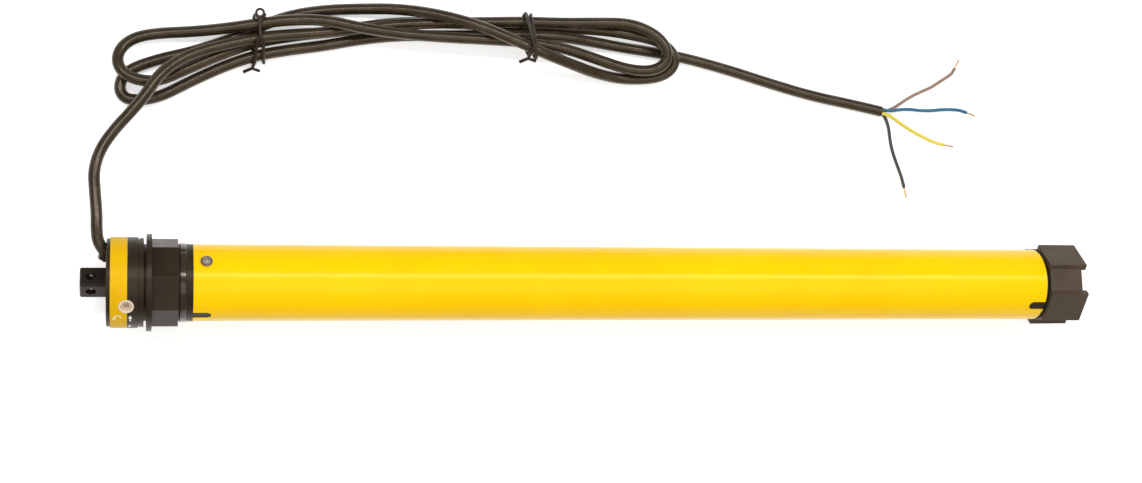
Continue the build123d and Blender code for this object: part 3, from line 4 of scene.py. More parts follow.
import bmesh
import bpy
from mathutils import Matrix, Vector


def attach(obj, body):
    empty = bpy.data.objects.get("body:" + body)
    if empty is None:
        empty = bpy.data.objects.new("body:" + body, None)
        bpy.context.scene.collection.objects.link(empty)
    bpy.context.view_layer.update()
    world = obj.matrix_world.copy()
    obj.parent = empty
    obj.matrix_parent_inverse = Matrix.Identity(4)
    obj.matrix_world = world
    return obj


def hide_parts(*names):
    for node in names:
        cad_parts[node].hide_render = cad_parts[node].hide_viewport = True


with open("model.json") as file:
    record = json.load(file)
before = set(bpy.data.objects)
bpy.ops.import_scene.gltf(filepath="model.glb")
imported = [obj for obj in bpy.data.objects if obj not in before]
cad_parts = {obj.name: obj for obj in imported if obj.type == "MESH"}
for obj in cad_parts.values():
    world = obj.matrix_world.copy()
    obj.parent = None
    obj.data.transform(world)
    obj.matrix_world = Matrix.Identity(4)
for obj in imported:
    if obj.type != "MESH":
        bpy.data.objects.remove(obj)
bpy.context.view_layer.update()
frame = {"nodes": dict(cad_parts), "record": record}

MM = 0.001
BODY = "motor_housing"
TABLE_Z = -22.0
X_AXIS, Y_AXIS, Z_AXIS = Vector((1, 0, 0)), Vector((0, 1, 0)), Vector((0, 0, 1))
STEEP_LINE = 0.9
ROUND_SIDES = 10


# Helpers

def metres(point):
    return Vector(point) * MM


def outward(azimuth):
    """The direction away from the motor's axis at an azimuth in degrees, 0 up and 90 towards +Y."""
    return Vector((0, sin(radians(azimuth)), cos(radians(azimuth))))


def swing(first, second, angle):
    """The direction at an angle from the first of two square directions towards the second."""
    return first * cos(angle) + second * sin(angle)


def circle_of(centre, first, second, radius, count):
    """Points round a circle that lies in the plane of two square directions."""
    return [centre + swing(first, second, 2 * pi * step / count) * radius for step in range(count)]


def link(name, data):
    piece = bpy.data.objects.new(name, data)
    bpy.context.scene.collection.objects.link(piece)
    return piece


def nurbs(name, points, diameter, material):
    """A cord on one open NURBS spline whose control points are given in millimetres."""
    curve = bpy.data.curves.new(name, "CURVE")
    curve.dimensions = "3D"
    spline = curve.splines.new("NURBS")
    spline.points.add(len(points) - 1)
    for place, point in zip(spline.points, points):
        place.co = (*metres(point), 1)
    spline.order_u = 3
    spline.use_endpoint_u = True
    spline.resolution_u = 8
    curve.bevel_depth = diameter / 2 * MM
    curve.bevel_resolution = 6
    curve.use_fill_caps = True
    curve.materials.append(material)
    return link(name, curve)


def read_line(points):
    """The points of the NURBS spline through these control points, in millimetres."""
    bare = nurbs("bare_line", points, 0, None)
    bare.data.materials.clear()
    mesh = bpy.data.meshes.new_from_object(bare)
    line = [vertex.co / MM for vertex in mesh.vertices]
    bpy.data.objects.remove(bare)
    bpy.data.meshes.remove(mesh)
    return line


def add_tube(work, line, radius, sides, closed=False, painted=None):
    """A tube along a line of points in millimetres. painted gives a ring face's material."""
    count = len(line)
    rings = []
    side = None
    for number, centre in enumerate(line):
        before = line[number - 1] if number or closed else centre
        after = line[(number + 1) % count] if number < count - 1 or closed else centre
        along = (after - before).normalized()
        if side is None:
            helper = Z_AXIS if abs(along.z) < STEEP_LINE else Y_AXIS
            side = along.cross(helper).normalized()
        side = (side - along * side.dot(along)).normalized()
        up = side.cross(along)
        circle = circle_of(centre, side, up, radius, sides)
        rings.append([work.verts.new(metres(point)) for point in circle])
    pairs = list(zip(rings, rings[1:])) + ([(rings[-1], rings[0])] if closed else [])
    for first, second in pairs:
        for step in range(sides):
            after = (step + 1) % sides
            face = work.faces.new((first[step], first[after], second[after], second[step]))
            face.smooth = True
            face.material_index = painted(step) if painted else 0
    if not closed:
        work.faces.new(list(reversed(rings[0])))
        work.faces.new(rings[-1])


def mesh_piece(name, work, materials):
    bmesh.ops.recalc_face_normals(work, faces=work.faces)
    mesh = bpy.data.meshes.new(name)
    work.to_mesh(mesh)
    work.free()
    for material in materials:
        mesh.materials.append(material)
    return link(name, mesh)


# Camera, fitted to the dimension marks in the photograph

camera_data = bpy.data.cameras.new("camera")
camera_data.lens = 58.98
camera_data.sensor_width = 36.0
camera_data.sensor_fit = "HORIZONTAL"
camera_data.clip_start = 0.01
camera = link("camera", camera_data)
camera.location = (0.013409, -0.034329, 0.865409)
camera.rotation_euler = (radians(3.58568), radians(-13.05341), radians(-0.399896))
bpy.context.scene.camera = camera
bpy.context.scene.view_settings.view_transform = "Standard"


# Materials

NOISE_LOW, NOISE_HIGH = 0.3, 0.7
BAND_LOW, BAND_HIGH = 0.15, 0.85
BAND_DISTORTION = 0.6
BAND_NOISE = 300
GLOSS_FINENESS = 5
GRAIN_DEPTH = 0.0002
COAT_ROUGHNESS = 0.12


def shader(name):
    material = bpy.data.materials.new(name)
    material.use_nodes = True
    tree = material.node_tree
    return material, tree, tree.nodes["Principled BSDF"]


def coordinates(tree, stretch=(1, 1, 1)):
    place = tree.nodes.new("ShaderNodeTexCoord")
    mapping = tree.nodes.new("ShaderNodeMapping")
    mapping.inputs["Scale"].default_value = stretch
    tree.links.new(place.outputs["Object"], mapping.inputs["Vector"])
    return mapping.outputs["Vector"]


def noise(tree, vector, scale, detail=4.0):
    node = tree.nodes.new("ShaderNodeTexNoise")
    node.inputs["Scale"].default_value = scale
    node.inputs["Detail"].default_value = detail
    tree.links.new(vector, node.inputs["Vector"])
    return node.outputs["Fac"]


def ramp(tree, factor, first, second, start=NOISE_LOW, end=NOISE_HIGH):
    """A colour that goes from the first to the second while the factor goes from start to end."""
    node = tree.nodes.new("ShaderNodeValToRGB")
    for stop, position, colour in zip(node.color_ramp.elements, (start, end), (first, second)):
        stop.position = position
        stop.color = (*colour, 1)
    tree.links.new(factor, node.inputs["Fac"])
    return node.outputs["Color"]


def span(tree, factor, low, high):
    """A value that goes from low to high with the factor."""
    node = tree.nodes.new("ShaderNodeMapRange")
    node.inputs["To Min"].default_value = low
    node.inputs["To Max"].default_value = high
    node.inputs["From Min"].default_value = NOISE_LOW
    node.inputs["From Max"].default_value = NOISE_HIGH
    tree.links.new(factor, node.inputs["Value"])
    return node.outputs["Result"]


def bump(tree, principled, height, strength, distance=GRAIN_DEPTH):
    node = tree.nodes.new("ShaderNodeBump")
    node.inputs["Strength"].default_value = strength
    node.inputs["Distance"].default_value = distance
    tree.links.new(height, node.inputs["Height"])
    tree.links.new(node.outputs["Normal"], principled.inputs["Normal"])


def finish_of(name, dark, light, rough, grain=2200, strength=0.12, stretch=(1, 1, 1),
              metallic=0.0, coat=0.0, specular=0.5, broad=60, tint=(1, 1, 1)):
    """A surface with a broad variation of colour, a finer one of gloss, and a fine grain."""
    material, tree, principled = shader(name)
    vector = coordinates(tree, stretch)
    cloud = noise(tree, vector, broad)
    tree.links.new(ramp(tree, cloud, dark, light), principled.inputs["Base Color"])
    gloss = noise(tree, vector, broad * GLOSS_FINENESS)
    tree.links.new(span(tree, gloss, *rough), principled.inputs["Roughness"])
    bump(tree, principled, noise(tree, vector, grain, 2.0), strength)
    principled.inputs["Metallic"].default_value = metallic
    principled.inputs["Coat Weight"].default_value = coat
    principled.inputs["Coat Roughness"].default_value = COAT_ROUGHNESS
    principled.inputs["Specular IOR Level"].default_value = specular
    principled.inputs["Specular Tint"].default_value = (*tint, 1)
    return material


def banded(name, first, second, axis, scale, rough, metallic, strength=0.5):
    """A surface of fine bands, such as laminated iron or wound wire."""
    material, tree, principled = shader(name)
    vector = coordinates(tree)
    wave = tree.nodes.new("ShaderNodeTexWave")
    wave.wave_type = "BANDS"
    wave.bands_direction = axis
    wave.inputs["Scale"].default_value = scale
    wave.inputs["Distortion"].default_value = BAND_DISTORTION
    tree.links.new(vector, wave.inputs["Vector"])
    bands = ramp(tree, wave.outputs["Fac"], first, second, BAND_LOW, BAND_HIGH)
    tree.links.new(bands, principled.inputs["Base Color"])
    tree.links.new(span(tree, noise(tree, vector, BAND_NOISE), *rough), principled.inputs["Roughness"])
    bump(tree, principled, wave.outputs["Fac"], strength)
    principled.inputs["Metallic"].default_value = metallic
    return material


def insulation(name, dark, light):
    return finish_of(name, dark, light, (0.35, 0.45), 3000)


BLACK_DARK, BLACK_LIGHT = (0.018, 0.0115, 0.006), (0.030, 0.0195, 0.0105)
WARM_SHEEN = (1.0, 0.86, 0.70)
YELLOW_SHEEN = (1.0, 0.88, 0.45)
STEEL_DARK, STEEL_LIGHT = (0.42, 0.41, 0.40), (0.60, 0.59, 0.58)
looks = {
    "tube_paint": finish_of("yellow_paint", (0.98, 0.57, 0.0005), (1.0, 0.61, 0.001), (0.17, 0.22),
                            1400, 0.05, specular=0.19, broad=30, tint=YELLOW_SHEEN),
    "band_plastic": finish_of("band_plastic", (0.74, 0.41, 0.001), (0.82, 0.47, 0.002), (0.42, 0.5),
                              3000, specular=0.18, tint=YELLOW_SHEEN),
    "head_plastic": finish_of("head_plastic", BLACK_DARK, BLACK_LIGHT, (0.34, 0.44), 2600, 0.22,
                              specular=0.22, tint=WARM_SHEEN),
    "crown_plastic": finish_of("crown_plastic", BLACK_DARK, BLACK_LIGHT, (0.30, 0.40), 2600, 0.2,
                               specular=0.22, tint=WARM_SHEEN),
    "clip_plastic": finish_of("clip_plastic", (0.018, 0.012, 0.0065), (0.029, 0.020, 0.011),
                              (0.16, 0.24), 2600, 0.06, coat=0.35, specular=0.3, tint=WARM_SHEEN),
    "wheel_plastic": finish_of("wheel_plastic", (0.060, 0.043, 0.028), (0.082, 0.060, 0.041),
                               (0.48, 0.6), 2200, 0.28, specular=0.25, tint=WARM_SHEEN),
    # The adjuster is pale plastic: its colour, darker and more tan than the bezel, has the shade of its
    # recess painted in
    "adjuster_plastic": finish_of("adjuster_plastic", (0.60, 0.45, 0.32), (0.72, 0.57, 0.43),
                                  (0.4, 0.55), 2600),
    "bezel_plastic": finish_of("bezel_plastic", (0.74, 0.58, 0.42), (0.86, 0.74, 0.60),
                               (0.35, 0.5), 2600),
    "pin_steel": finish_of("black_steel", (0.010, 0.008, 0.005), (0.024, 0.018, 0.012), (0.34, 0.46),
                           1800, 0.2, specular=0.22, tint=WARM_SHEEN),
    "screw_steel": finish_of("zinc_screw", (0.42, 0.38, 0.34), (0.62, 0.57, 0.52), (0.24, 0.38),
                             3000, 0.1, metallic=1.0, broad=400),
    "switch_plastic": finish_of("switch_plastic", (0.05, 0.05, 0.05), (0.08, 0.08, 0.08),
                                (0.4, 0.5), 2600),
    "gear_plastic": finish_of("white_acetal", (0.76, 0.74, 0.68), (0.84, 0.82, 0.77),
                              (0.3, 0.42), 2600),
    "capacitor_case": finish_of("capacitor_case", (0.70, 0.70, 0.68), (0.78, 0.78, 0.76),
                                (0.3, 0.4), 2600),
    "shield_alloy": finish_of("cast_alloy", (0.40, 0.40, 0.40), (0.52, 0.52, 0.52), (0.45, 0.6),
                              1400, 0.4, metallic=1.0, broad=300),
    "bearing_steel": finish_of("ground_steel", STEEL_DARK, STEEL_LIGHT, (0.2, 0.32), 3000, 0.06,
                               stretch=(6, 1, 1), metallic=1.0, broad=300),
    "gear_steel": finish_of("hobbed_steel", STEEL_DARK, STEEL_LIGHT, (0.28, 0.42), 2400, 0.12,
                            metallic=1.0, broad=300),
    "core_iron": banded("laminations", (0.16, 0.15, 0.14), (0.34, 0.33, 0.32), "X", 300,
                        (0.4, 0.55), 0.9),
    "winding_copper": banded("wound_wire", (0.42, 0.17, 0.07), (0.78, 0.38, 0.18), "DIAGONAL", 320,
                             (0.25, 0.4), 0.9, 0.9),
    "brake_case": finish_of("brake_case", (0.16, 0.16, 0.17), (0.24, 0.24, 0.25), (0.4, 0.5), 1400, 0.2),
    "brake_lining": finish_of("brake_lining", (0.08, 0.065, 0.05), (0.16, 0.13, 0.11), (0.8, 0.95),
                              1600, 0.6, broad=900),
    "cable_sheath": finish_of("cable_sheath", (0.020, 0.013, 0.006), (0.042, 0.029, 0.016),
                              (0.22, 0.30), 1500, 0.05, specular=0.42, broad=120, tint=WARM_SHEEN),
    "wire_brown": insulation("brown_insulation", (0.24, 0.145, 0.10), (0.32, 0.20, 0.15)),
    "wire_blue": insulation("blue_insulation", (0.005, 0.10, 0.20), (0.011, 0.145, 0.26)),
    "wire_yellow_green": insulation("yellow_insulation", (0.68, 0.55, 0.04), (0.76, 0.61, 0.06)),
    "wire_black": insulation("black_insulation", (0.03, 0.027, 0.022), (0.05, 0.045, 0.038)),
    "bare_copper": finish_of("bare_copper", (0.55, 0.36, 0.19), (0.76, 0.57, 0.37), (0.25, 0.38),
                             3000, metallic=1.0, broad=700),
    "tie_wire": finish_of("tie_wire", (0.016, 0.011, 0.006), (0.028, 0.020, 0.012), (0.30, 0.42),
                          2400, 0.3, specular=0.3, tint=WARM_SHEEN),
}
# A dark metal colour used as painted shade: the ring of it round each tube screw's head stands for
# shade, not darker metal
painted_shade_zinc = finish_of("painted_shade_zinc", (0.12, 0.09, 0.08), (0.20, 0.15, 0.13), (0.35, 0.5), 3000, 0.1,
                      metallic=1.0, broad=400)
green = insulation("green_insulation", (0.05, 0.22, 0.04), (0.08, 0.30, 0.06))
mark_paint = finish_of("mark_paint", (0.80, 0.78, 0.72), (0.88, 0.86, 0.80), (0.5, 0.6), 3000)
band_mark_paint = finish_of("band_mark_paint", (0.90, 0.72, 0.28), (0.95, 0.80, 0.38), (0.5, 0.6), 3000)

# Printed board: solder mask with copper runs

BOARD_FINENESS = 260
BOARD_NOISE = 500
COPPER_DEPTH = 0.0001
board, tree, principled = shader("board")
vector = coordinates(tree)
brick = tree.nodes.new("ShaderNodeTexBrick")
brick.inputs["Scale"].default_value = BOARD_FINENESS
brick.inputs["Color1"].default_value = (0.012, 0.13, 0.04, 1)
brick.inputs["Color2"].default_value = (0.016, 0.16, 0.05, 1)
brick.inputs["Mortar"].default_value = (0.05, 0.28, 0.10, 1)
tree.links.new(vector, brick.inputs["Vector"])
tree.links.new(brick.outputs["Color"], principled.inputs["Base Color"])
bump(tree, principled, brick.outputs["Fac"], 0.3, COPPER_DEPTH)
tree.links.new(span(tree, noise(tree, vector, BOARD_NOISE), 0.25, 0.4), principled.inputs["Roughness"])
looks["board"] = board

for row in frame["record"]["subparts"]:
    for place in frame["nodes"][row["node"]].material_slots:
        place.material = looks[row["material_slot"]]


# The cable, from the gland over the hank to the end of its sheath

CABLE_DIAMETER = 5.4
LAYER_GAP = 0.5
FLOOR_GAP = 0.05
LAYER_PITCH = CABLE_DIAMETER + LAYER_GAP
STRAND_FLOOR = TABLE_Z + CABLE_DIAMETER / 2 + FLOOR_GAP
LEAD_ROUTE = (
    (-0.7, 13.6, 5.2), (-3.35, 16.7, 6.9), (-4.3, 22.3, 7.5), (-4.3, 30.5, 6.8), (-5.2, 40.5, 5.4),
    (-5.9, 50.0, 3.8), (-3.2, 59.8, 2.2), (3.3, 69.5, 1.0), (11.0, 78.2, 0.2), (17.4, 86.6, -0.6),
    (22.6, 95.0, -1.8), (30.5, 102.0, -4.6), (42.0, 107.9, -6.9),
)
# The hank's five passes: where each passes across the motor at each station, and in which layer
HANK_STATIONS = (22, 38, 53, 66.5, 82, 99, 116, 135, 154, 173, 195.5, 213, 231, 246)
HANK_LIFT = (0, 0.3, 1.1, 1.7, 1.1, 0.3, 0, 0, 0, 0.6, 1.7, 0.9, 0, 0)
FIRST_PASS_START = 3
PASS_ACROSS = (
    (114.8, 114.8, 114.8, 114.8, 116.9, 118.6, 121.2, 123.9, 125.2, 125.9, 126.8, 126.9, 127.6, 127.6),
    (116.7, 117.6, 119.2, 121.3, 123.9, 123.8, 120.2, 118.2, 117.3, 116.9, 116.1, 114.2, 109.8, 105.2),
    (93.0, 100.8, 108.0, 113.7, 117.0, 119.8, 122.8, 125.9, 126.3, 125.9, 125.0, 125.3, 125.4, 123.4),
    (104.6, 108.6, 114.0, 120.2, 127.0, 130.4, 131.7, 131.3, 127.9, 121.8, 112.4, 107.0, 102.9, 101.0),
    (86.2, 95.2, 102.4, 107.4, 110.6, 113.3, 117.0, 119.3, 119.2, 119.5, 120.5, 120.5, 119.0, 116.9),
)
PASS_LAYER = (
    (1.1, 1.1, 1.1, 1.1, 1, 1, 1, 1, 1, 1, 1, 1, 1.2, 1.6),
    (0.25, 0.5, 0.8, 1.1, 1.2, 1.85, 2.1, 2, 2, 1.95, 1.9, 1.6, 1.1, 1.1),
    (1.2, 1.15, 0.7, 0, 0, 0, 0, 0, 0, 0, 0, 0, 0.2, 0.7),
    (0, 0, 0, 0, 0, 0, 0, 1.0, 2.05, 2.95, 3.05, 2.2, 0.8, 0.1),
    (0.25, 0, 0, 0, 0, 0, 0, 0.2, 0.7, 1, 1, 0.8, 0.2, 0),
)
# The turns between the passes: reach, drift, climb in layers, number of points, bluntness
HALF_TURNS = (
    (19.6, -4.6, 0.7, 5, 0.85), (-18.5, -1.4, 0.15, 5, 0.85),
    (25.3, -2.1, 0.6, 4, 0.75), (-17.4, -4.4, 0.05, 4, 0.6),
)
TAIL_ROUTE = (
    (261.5, 115.2, STRAND_FLOOR), (276.6, 113.0, STRAND_FLOOR), (299.4, 107.6, STRAND_FLOOR),
    (321.0, 101.4, STRAND_FLOOR), (344.0, 95.4, STRAND_FLOOR), (367.0, 91.4, STRAND_FLOOR),
    (381.0, 88.5, STRAND_FLOOR),
)


def strand_point(strand, station):
    layer = PASS_LAYER[strand][station]
    return Vector((
        HANK_STATIONS[station],
        PASS_ACROSS[strand][station],
        STRAND_FLOOR + HANK_LIFT[station] + layer * LAYER_PITCH,
    ))


def hank_route():
    points = []
    for strand in range(len(PASS_ACROSS)):
        stations = list(range(FIRST_PASS_START if strand == 0 else 0, len(HANK_STATIONS)))
        if strand % 2:
            stations.reverse()
        if strand:
            start, end = points[-1], strand_point(strand, stations[0])
            reach, drift, climb, count, blunt = HALF_TURNS[strand - 1]
            for number in range(1, count + 1):
                angle = pi * number / (count + 1)
                bulge = Vector((reach, drift, climb * LAYER_PITCH)) * sin(angle) ** blunt
                points.append(start + (end - start) * ((1 - cos(angle)) / 2) + bulge)
        points += [strand_point(strand, station) for station in stations]
    return points


cable_points = [*LEAD_ROUTE, *hank_route(), *TAIL_ROUTE]
cable = nurbs("cable", cable_points, CABLE_DIAMETER, looks["cable_sheath"])
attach(cable, BODY)
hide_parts("cable_lead", "cable_hank", "cable_tail")
cable_line = read_line(cable_points)


# Wires at the stripped end: the side of the sheath that each leaves from, and its route

WIRE_DIAMETER = 1.7
WIRE_OFFSET = 1.0
TIP_LENGTH = 5.2
WIRES = {
    "brown": ((1, -1), (
        (385.6, 89.3, -20.4), (390.3, 91.7, -20.6), (396.6, 95.9, -20.8), (402.8, 99.0, -21.0),
        (409.0, 101.5, -20.9), (413.8, 104.6, -21.0), (418.4, 107.4, -20.9), (421.4, 109.5, -21.0),
        (422.7, 111.9, -21.1))),
    "blue": ((1, 1), (
        (385.8, 88.7, -18.1), (391.2, 89.6, -18.2), (397.0, 89.9, -18.9), (403.0, 89.5, -19.9),
        (409.2, 89.7, -20.6), (415.0, 90.5, -20.9), (421.4, 90.6, -20.9), (425.6, 90.3, -21.0),
        (428.8, 89.2, -21.1))),
    "yellow_green": ((-1, 1), (
        (384.6, 86.6, -18.5), (387.9, 85.1, -19.2), (392.2, 82.6, -20.1), (396.7, 79.9, -20.7),
        (402.6, 76.9, -21.0), (408.5, 74.3, -20.9), (412.6, 72.9, -21.0), (416.0, 72.3, -21.1))),
    "black": ((-1, -1), (
        (383.9, 85.4, -20.5), (385.7, 80.9, -20.8), (386.3, 75.6, -21.0), (387.1, 70.2, -20.9),
        (388.8, 64.8, -21.0), (390.9, 59.2, -20.9), (392.7, 54.4, -21.0), (393.7, 49.9, -21.1))),
}
WIRE_SIDES = 16
GREEN_STRIPE = range(9, 13)
STRAND_RADIUS = 0.165
STRAND_SIDES = 8
STRAND_CIRCLE = 0.32
STRAND_COUNT = 6
STRAND_TWIST = 0.9 * pi
TIP_STEPS = 14
sheath_end = Vector(TAIL_ROUTE[-1])
tail_direction = (sheath_end - Vector(TAIL_ROUTE[-2])).normalized()
tail_across = Vector((-tail_direction.y, tail_direction.x, 0))
strands = bmesh.new()
for colour, ((across, up), route) in WIRES.items():
    start = sheath_end + (tail_across * across + Z_AXIS * up) * WIRE_OFFSET
    points = [start, start + tail_direction * WIRE_DIAMETER, *[Vector(point) for point in route]]
    if colour == "yellow_green":
        work = bmesh.new()
        add_tube(work, read_line(points), WIRE_DIAMETER / 2, WIRE_SIDES,
                 painted=lambda step: int(step in GREEN_STRIPE))
        wire = mesh_piece("wire_yellow_green_insulation", work, (looks["wire_yellow_green"], green))
    else:
        wire = nurbs(f"wire_{colour}_insulation", points, WIRE_DIAMETER, looks[f"wire_{colour}"])
    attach(wire, BODY)
    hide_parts(f"wire_{colour}")
    tip_start = points[-1]
    tip_direction = (tip_start - points[-2]).normalized()
    side = tip_direction.cross(Z_AXIS).normalized()
    rise = side.cross(tip_direction)
    for strand in range(STRAND_COUNT + 1):
        line = []
        for step in range(TIP_STEPS + 1):
            part = step / TIP_STEPS
            turn = 2 * pi * strand / STRAND_COUNT + part * STRAND_TWIST
            offset = 0 if strand == STRAND_COUNT else STRAND_CIRCLE
            line.append(tip_start + tip_direction * TIP_LENGTH * part + swing(side, rise, turn) * offset)
        add_tube(strands, line, STRAND_RADIUS, STRAND_SIDES)
tips = mesh_piece("copper_strands", strands, (looks["bare_copper"],))
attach(tips, BODY)
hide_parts("conductor_tips")


# Ties of wire round the hank: two turns that cross on top, two ends, and on the left one a small eye

TIE_WIRE_RADIUS = 0.78
TIE_STEPS = 56
TIE_TURNS = 2
TIE_START = -90
TIE_WIDTH = 3.6
TIE_CLEARANCE = 0.12
TIES = (("left", 66.6, 2.5), ("right", 194.6, 1.6))
FIRST_BEND, FIRST_END = Vector((-0.5, -1.2, -0.5)), Vector((-4.2, -1.8, -0.6))
LAST_BEND, LAST_END = Vector((-0.3, -1.5, 0.4)), Vector((3.4, -1.0, -0.5))
EYE_RADIUS = 1.75
EYE_AZIMUTH = 55.0
EYE_WIRE_RADIUS = 0.6
EYE_STEPS = 28


def crossings(x):
    """Where the cable passes this x inside the hank, in millimetres."""
    found = []
    for before, after in zip(cable_line, cable_line[1:]):
        if (before.x - x) * (after.x - x) < 0:
            share = (x - before.x) / (after.x - before.x)
            found.append((before.lerp(after, share), (after - before) / (after.x - before.x)))
    return found


def round_point(found, azimuth, distance):
    """The point at this distance outside the strand that reaches furthest at this azimuth."""
    away = outward(azimuth)
    surfaces = []
    for centre, lean in found:
        slope = lean.dot(away)
        reach = CABLE_DIAMETER / 2 * sqrt(1 + slope ** 2) + abs(slope) * TIE_WIDTH / 2
        surfaces.append(centre + away * (reach + distance))
    return max(surfaces, key=lambda surface: surface.dot(away))


def turn_share(azimuth):
    """Where a turn lies between the tie's two sides: it crosses over on top and runs straight below."""
    if azimuth < 90:
        return sin(radians(azimuth))
    if azimuth < 270:
        return 1
    if azimuth < 450:
        return -sin(radians(azimuth))
    return -1


for side_name, tie_x, spread in TIES:
    work = bmesh.new()
    line = []
    middle = tie_x + TIE_WIDTH / 2
    for step in range(TIE_STEPS * TIE_TURNS + 1):
        azimuth = TIE_START + 360 * step / TIE_STEPS
        x = middle + spread * turn_share(azimuth)
        over = 2 * TIE_WIRE_RADIUS * max(0, cos(radians(azimuth))) if 270 < azimuth < 450 else 0
        point = round_point(crossings(x), azimuth, TIE_WIRE_RADIUS + TIE_CLEARANCE + over)
        point.x = x
        point.z = max(point.z, TABLE_Z + TIE_WIRE_RADIUS)
        line.append(point)
    triples = zip(line, line[1:], line[2:])
    smooth = [(before + point * 2 + after) / 4 for before, point, after in triples]
    first_bend, last_bend = line[0] + FIRST_BEND, line[-1] + LAST_BEND
    first_end, last_end = first_bend + FIRST_END, last_bend + LAST_END
    wound = [first_end, first_bend, line[0], *smooth, line[-1], last_bend, last_end]
    add_tube(work, wound, TIE_WIRE_RADIUS, ROUND_SIDES)
    if side_name == "left":
        centre = round_point(crossings(middle), EYE_AZIMUTH, TIE_WIRE_RADIUS + EYE_RADIUS)
        centre.x = middle
        circle = circle_of(centre, X_AXIS, Y_AXIS, EYE_RADIUS, EYE_STEPS)
        add_tube(work, circle, EYE_WIRE_RADIUS, ROUND_SIDES, closed=True)
    tie = mesh_piece(f"tie_{side_name}", work, (looks["tie_wire"],))
    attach(tie, BODY)
    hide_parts(f"hank_tie_{side_name}")


# Printed marks beside the adjuster: arrows and a dot, on the band and on the housing

HEAD_RADIUS = 20.5
MARK_LIFT = 0.04
STROKE_WIDTH = 0.7
BAND_ARROW = (5.1, -52.0)
HOUSING_ARROW = (10.6, -54.0)
HOUSING_DOT = (10.4, -73.5)


def add_mark(work, outline, x, azimuth):
    """A flat shape in millimetres, along the motor and round it, laid on the head."""
    corners = []
    for along, around in outline:
        away = outward(azimuth + degrees(around / HEAD_RADIUS))
        corner = away * (HEAD_RADIUS + MARK_LIFT) + X_AXIS * (x + along)
        corners.append(work.verts.new(metres(corner)))
    work.faces.new(corners)


def stroke(work, points, x, azimuth):
    """A line of one width through these points, in millimetres along the motor and round it."""
    for (x0, y0), (x1, y1) in zip(points, points[1:]):
        size = sqrt((x1 - x0) ** 2 + (y1 - y0) ** 2)
        nx, ny = -(y1 - y0) / size * STROKE_WIDTH / 2, (x1 - x0) / size * STROKE_WIDTH / 2
        corners = [(x0 + nx, y0 + ny), (x1 + nx, y1 + ny), (x1 - nx, y1 - ny), (x0 - nx, y0 - ny)]
        add_mark(work, corners, x, azimuth)


def arc(radius, start, end, count):
    """Points along an arc between two angles in degrees."""
    steps = [radians(start + (end - start) * number / count) for number in range(count + 1)]
    return [(radius * cos(angle), radius * sin(angle)) for angle in steps]


work = bmesh.new()
stroke(work, arc(1.4, -20, 200, 9), *BAND_ARROW)
add_mark(work, [(-2.5, -0.2), (-0.3, -0.2), (-1.4, -2.2)], *BAND_ARROW)
band_mark = mesh_piece("band_arrow_mark", work, (band_mark_paint,))
work = bmesh.new()
add_mark(work, [(-0.95, 0.2), (0.95, 0.2), (0, 2.2)], *HOUSING_ARROW)
stroke(work, [(0, 0.2), (0, -1.9)], *HOUSING_ARROW)
add_mark(work, [(x, 2 * y) for x, y in arc(0.65, 0, 324, 9)], *HOUSING_DOT)
housing_mark = mesh_piece("housing_marks", work, (mark_paint,))
for piece, where in ((band_mark, "band_plastic"), (housing_mark, "head_plastic")):
    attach(piece, BODY)


# A ring of painted shade at the rim, and the cross recess, of the screws in the tube

TUBE_RADIUS = 17.5
SCREW_X, SCREW_AZIMUTH, SCREW_RADIUS, SCREW_HEAD_HEIGHT = 43.7, 29.3, 2.25, 1.1
SHADE_RING_THICKNESS = 0.3
SHADE_RING_STEPS = 32
RECESS_ANGLES = (45, 135)
RECESS_REACH = 1.45
RECESS_RADIUS = 0.3
RECESS_SIDES = 8
shade_rings = bmesh.new()
recesses = bmesh.new()
for azimuth in (SCREW_AZIMUTH, SCREW_AZIMUTH + 180):
    away = outward(azimuth)
    across = X_AXIS.cross(away)
    centre = X_AXIS * SCREW_X + away * (TUBE_RADIUS + SCREW_HEAD_HEIGHT)
    circle = circle_of(centre, X_AXIS, across, SCREW_RADIUS, SHADE_RING_STEPS)
    add_tube(shade_rings, circle, SHADE_RING_THICKNESS, ROUND_SIDES, closed=True)
    for angle in RECESS_ANGLES:
        arm = swing(X_AXIS, across, radians(angle)) * RECESS_REACH
        add_tube(recesses, [centre - arm, centre, centre + arm], RECESS_RADIUS, RECESS_SIDES)
# The rings are painted shade round the edge of each screw head
shade_ring = mesh_piece("tube_screw_shade_rings", shade_rings, (painted_shade_zinc,))
recess = mesh_piece("tube_screw_recesses", recesses, (looks["screw_steel"],))
for piece in (shade_ring, recess):
    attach(piece, BODY)


# Floor, world and lamps, in metres. What the camera sees of floor and world is as bright as paper

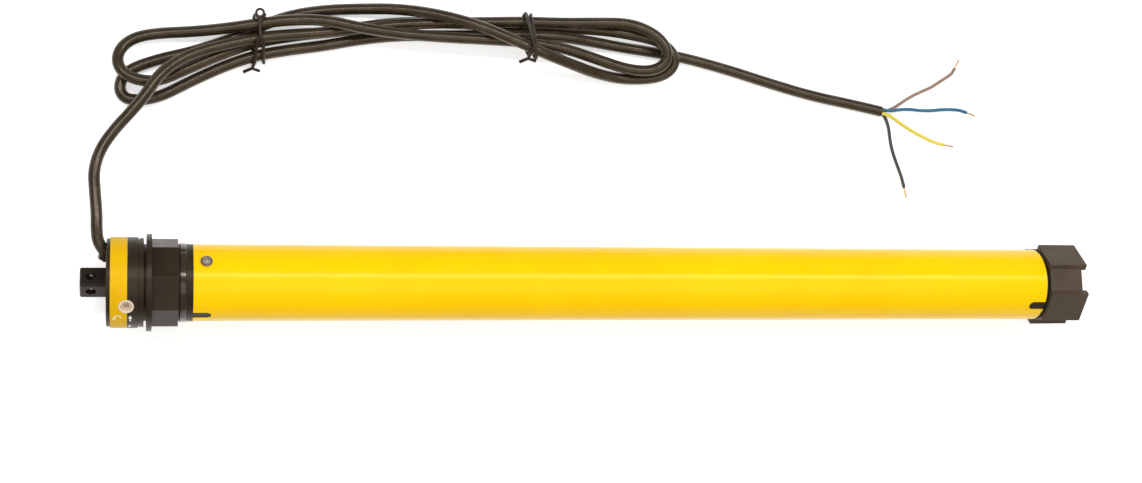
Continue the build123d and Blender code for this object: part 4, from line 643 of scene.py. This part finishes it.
FLOOR_CORNERS = ((-3, -3), (3.5, -3), (3.5, 3), (-3, 3))
FLOOR_NOISE = 3
FLOOR_DARK, FLOOR_LIGHT = (0.90, 0.90, 0.90), (0.93, 0.93, 0.93)
FLOOR_LIFT = 0.50
WORLD_LIT, WORLD_SEEN = 0.42, 1.0
floor_work = bmesh.new()
for x, y in FLOOR_CORNERS:
    floor_work.verts.new((x, y, TABLE_Z * MM))
floor_work.faces.new(floor_work.verts[:])
floor_material, tree, principled = shader("floor")
cloud = noise(tree, coordinates(tree), FLOOR_NOISE)
tree.links.new(ramp(tree, cloud, FLOOR_DARK, FLOOR_LIGHT), principled.inputs["Base Color"])
principled.inputs["Roughness"].default_value = 0.9
light_path = tree.nodes.new("ShaderNodeLightPath")
rays = tree.nodes.new("ShaderNodeMath")
rays.operation = "MAXIMUM"
tree.links.new(light_path.outputs["Is Camera Ray"], rays.inputs[0])
tree.links.new(light_path.outputs["Is Glossy Ray"], rays.inputs[1])
lift = tree.nodes.new("ShaderNodeMath")
lift.operation = "MULTIPLY"
lift.inputs[1].default_value = FLOOR_LIFT
tree.links.new(rays.outputs[0], lift.inputs[0])
principled.inputs["Emission Color"].default_value = (1, 1, 1, 1)
tree.links.new(lift.outputs[0], principled.inputs["Emission Strength"])
floor = mesh_piece("floor", floor_work, (floor_material,))

world = bpy.data.worlds.new("studio")
world.use_nodes = True
bpy.context.scene.world = world
tree = world.node_tree
background = tree.nodes["Background"]
background.inputs["Color"].default_value = (1, 1, 1, 1)
light_path = tree.nodes.new("ShaderNodeLightPath")
strength = tree.nodes.new("ShaderNodeMapRange")
strength.inputs["To Min"].default_value = WORLD_LIT
strength.inputs["To Max"].default_value = WORLD_SEEN
tree.links.new(light_path.outputs["Is Camera Ray"], strength.inputs["Value"])
tree.links.new(strength.outputs["Result"], background.inputs["Strength"])


def lamp(name, place, target, size, size_y, energy):
    data = bpy.data.lights.new(name, "AREA")
    data.shape = "RECTANGLE"
    data.size = size
    data.size_y = size_y
    data.energy = energy
    light = link(name, data)
    light.location = place
    light.rotation_euler = (Vector(target) - Vector(place)).to_track_quat("-Z", "Y").to_euler()


lamp("strip", (0.24, 0.36, 0.95), (0.24, 0.05, 0), size=1.5, size_y=0.11, energy=8.0)
lamp("top", (0.25, -0.34, 1.08), (0.25, 0.0, 0), size=1.4, size_y=0.7, energy=4.3)
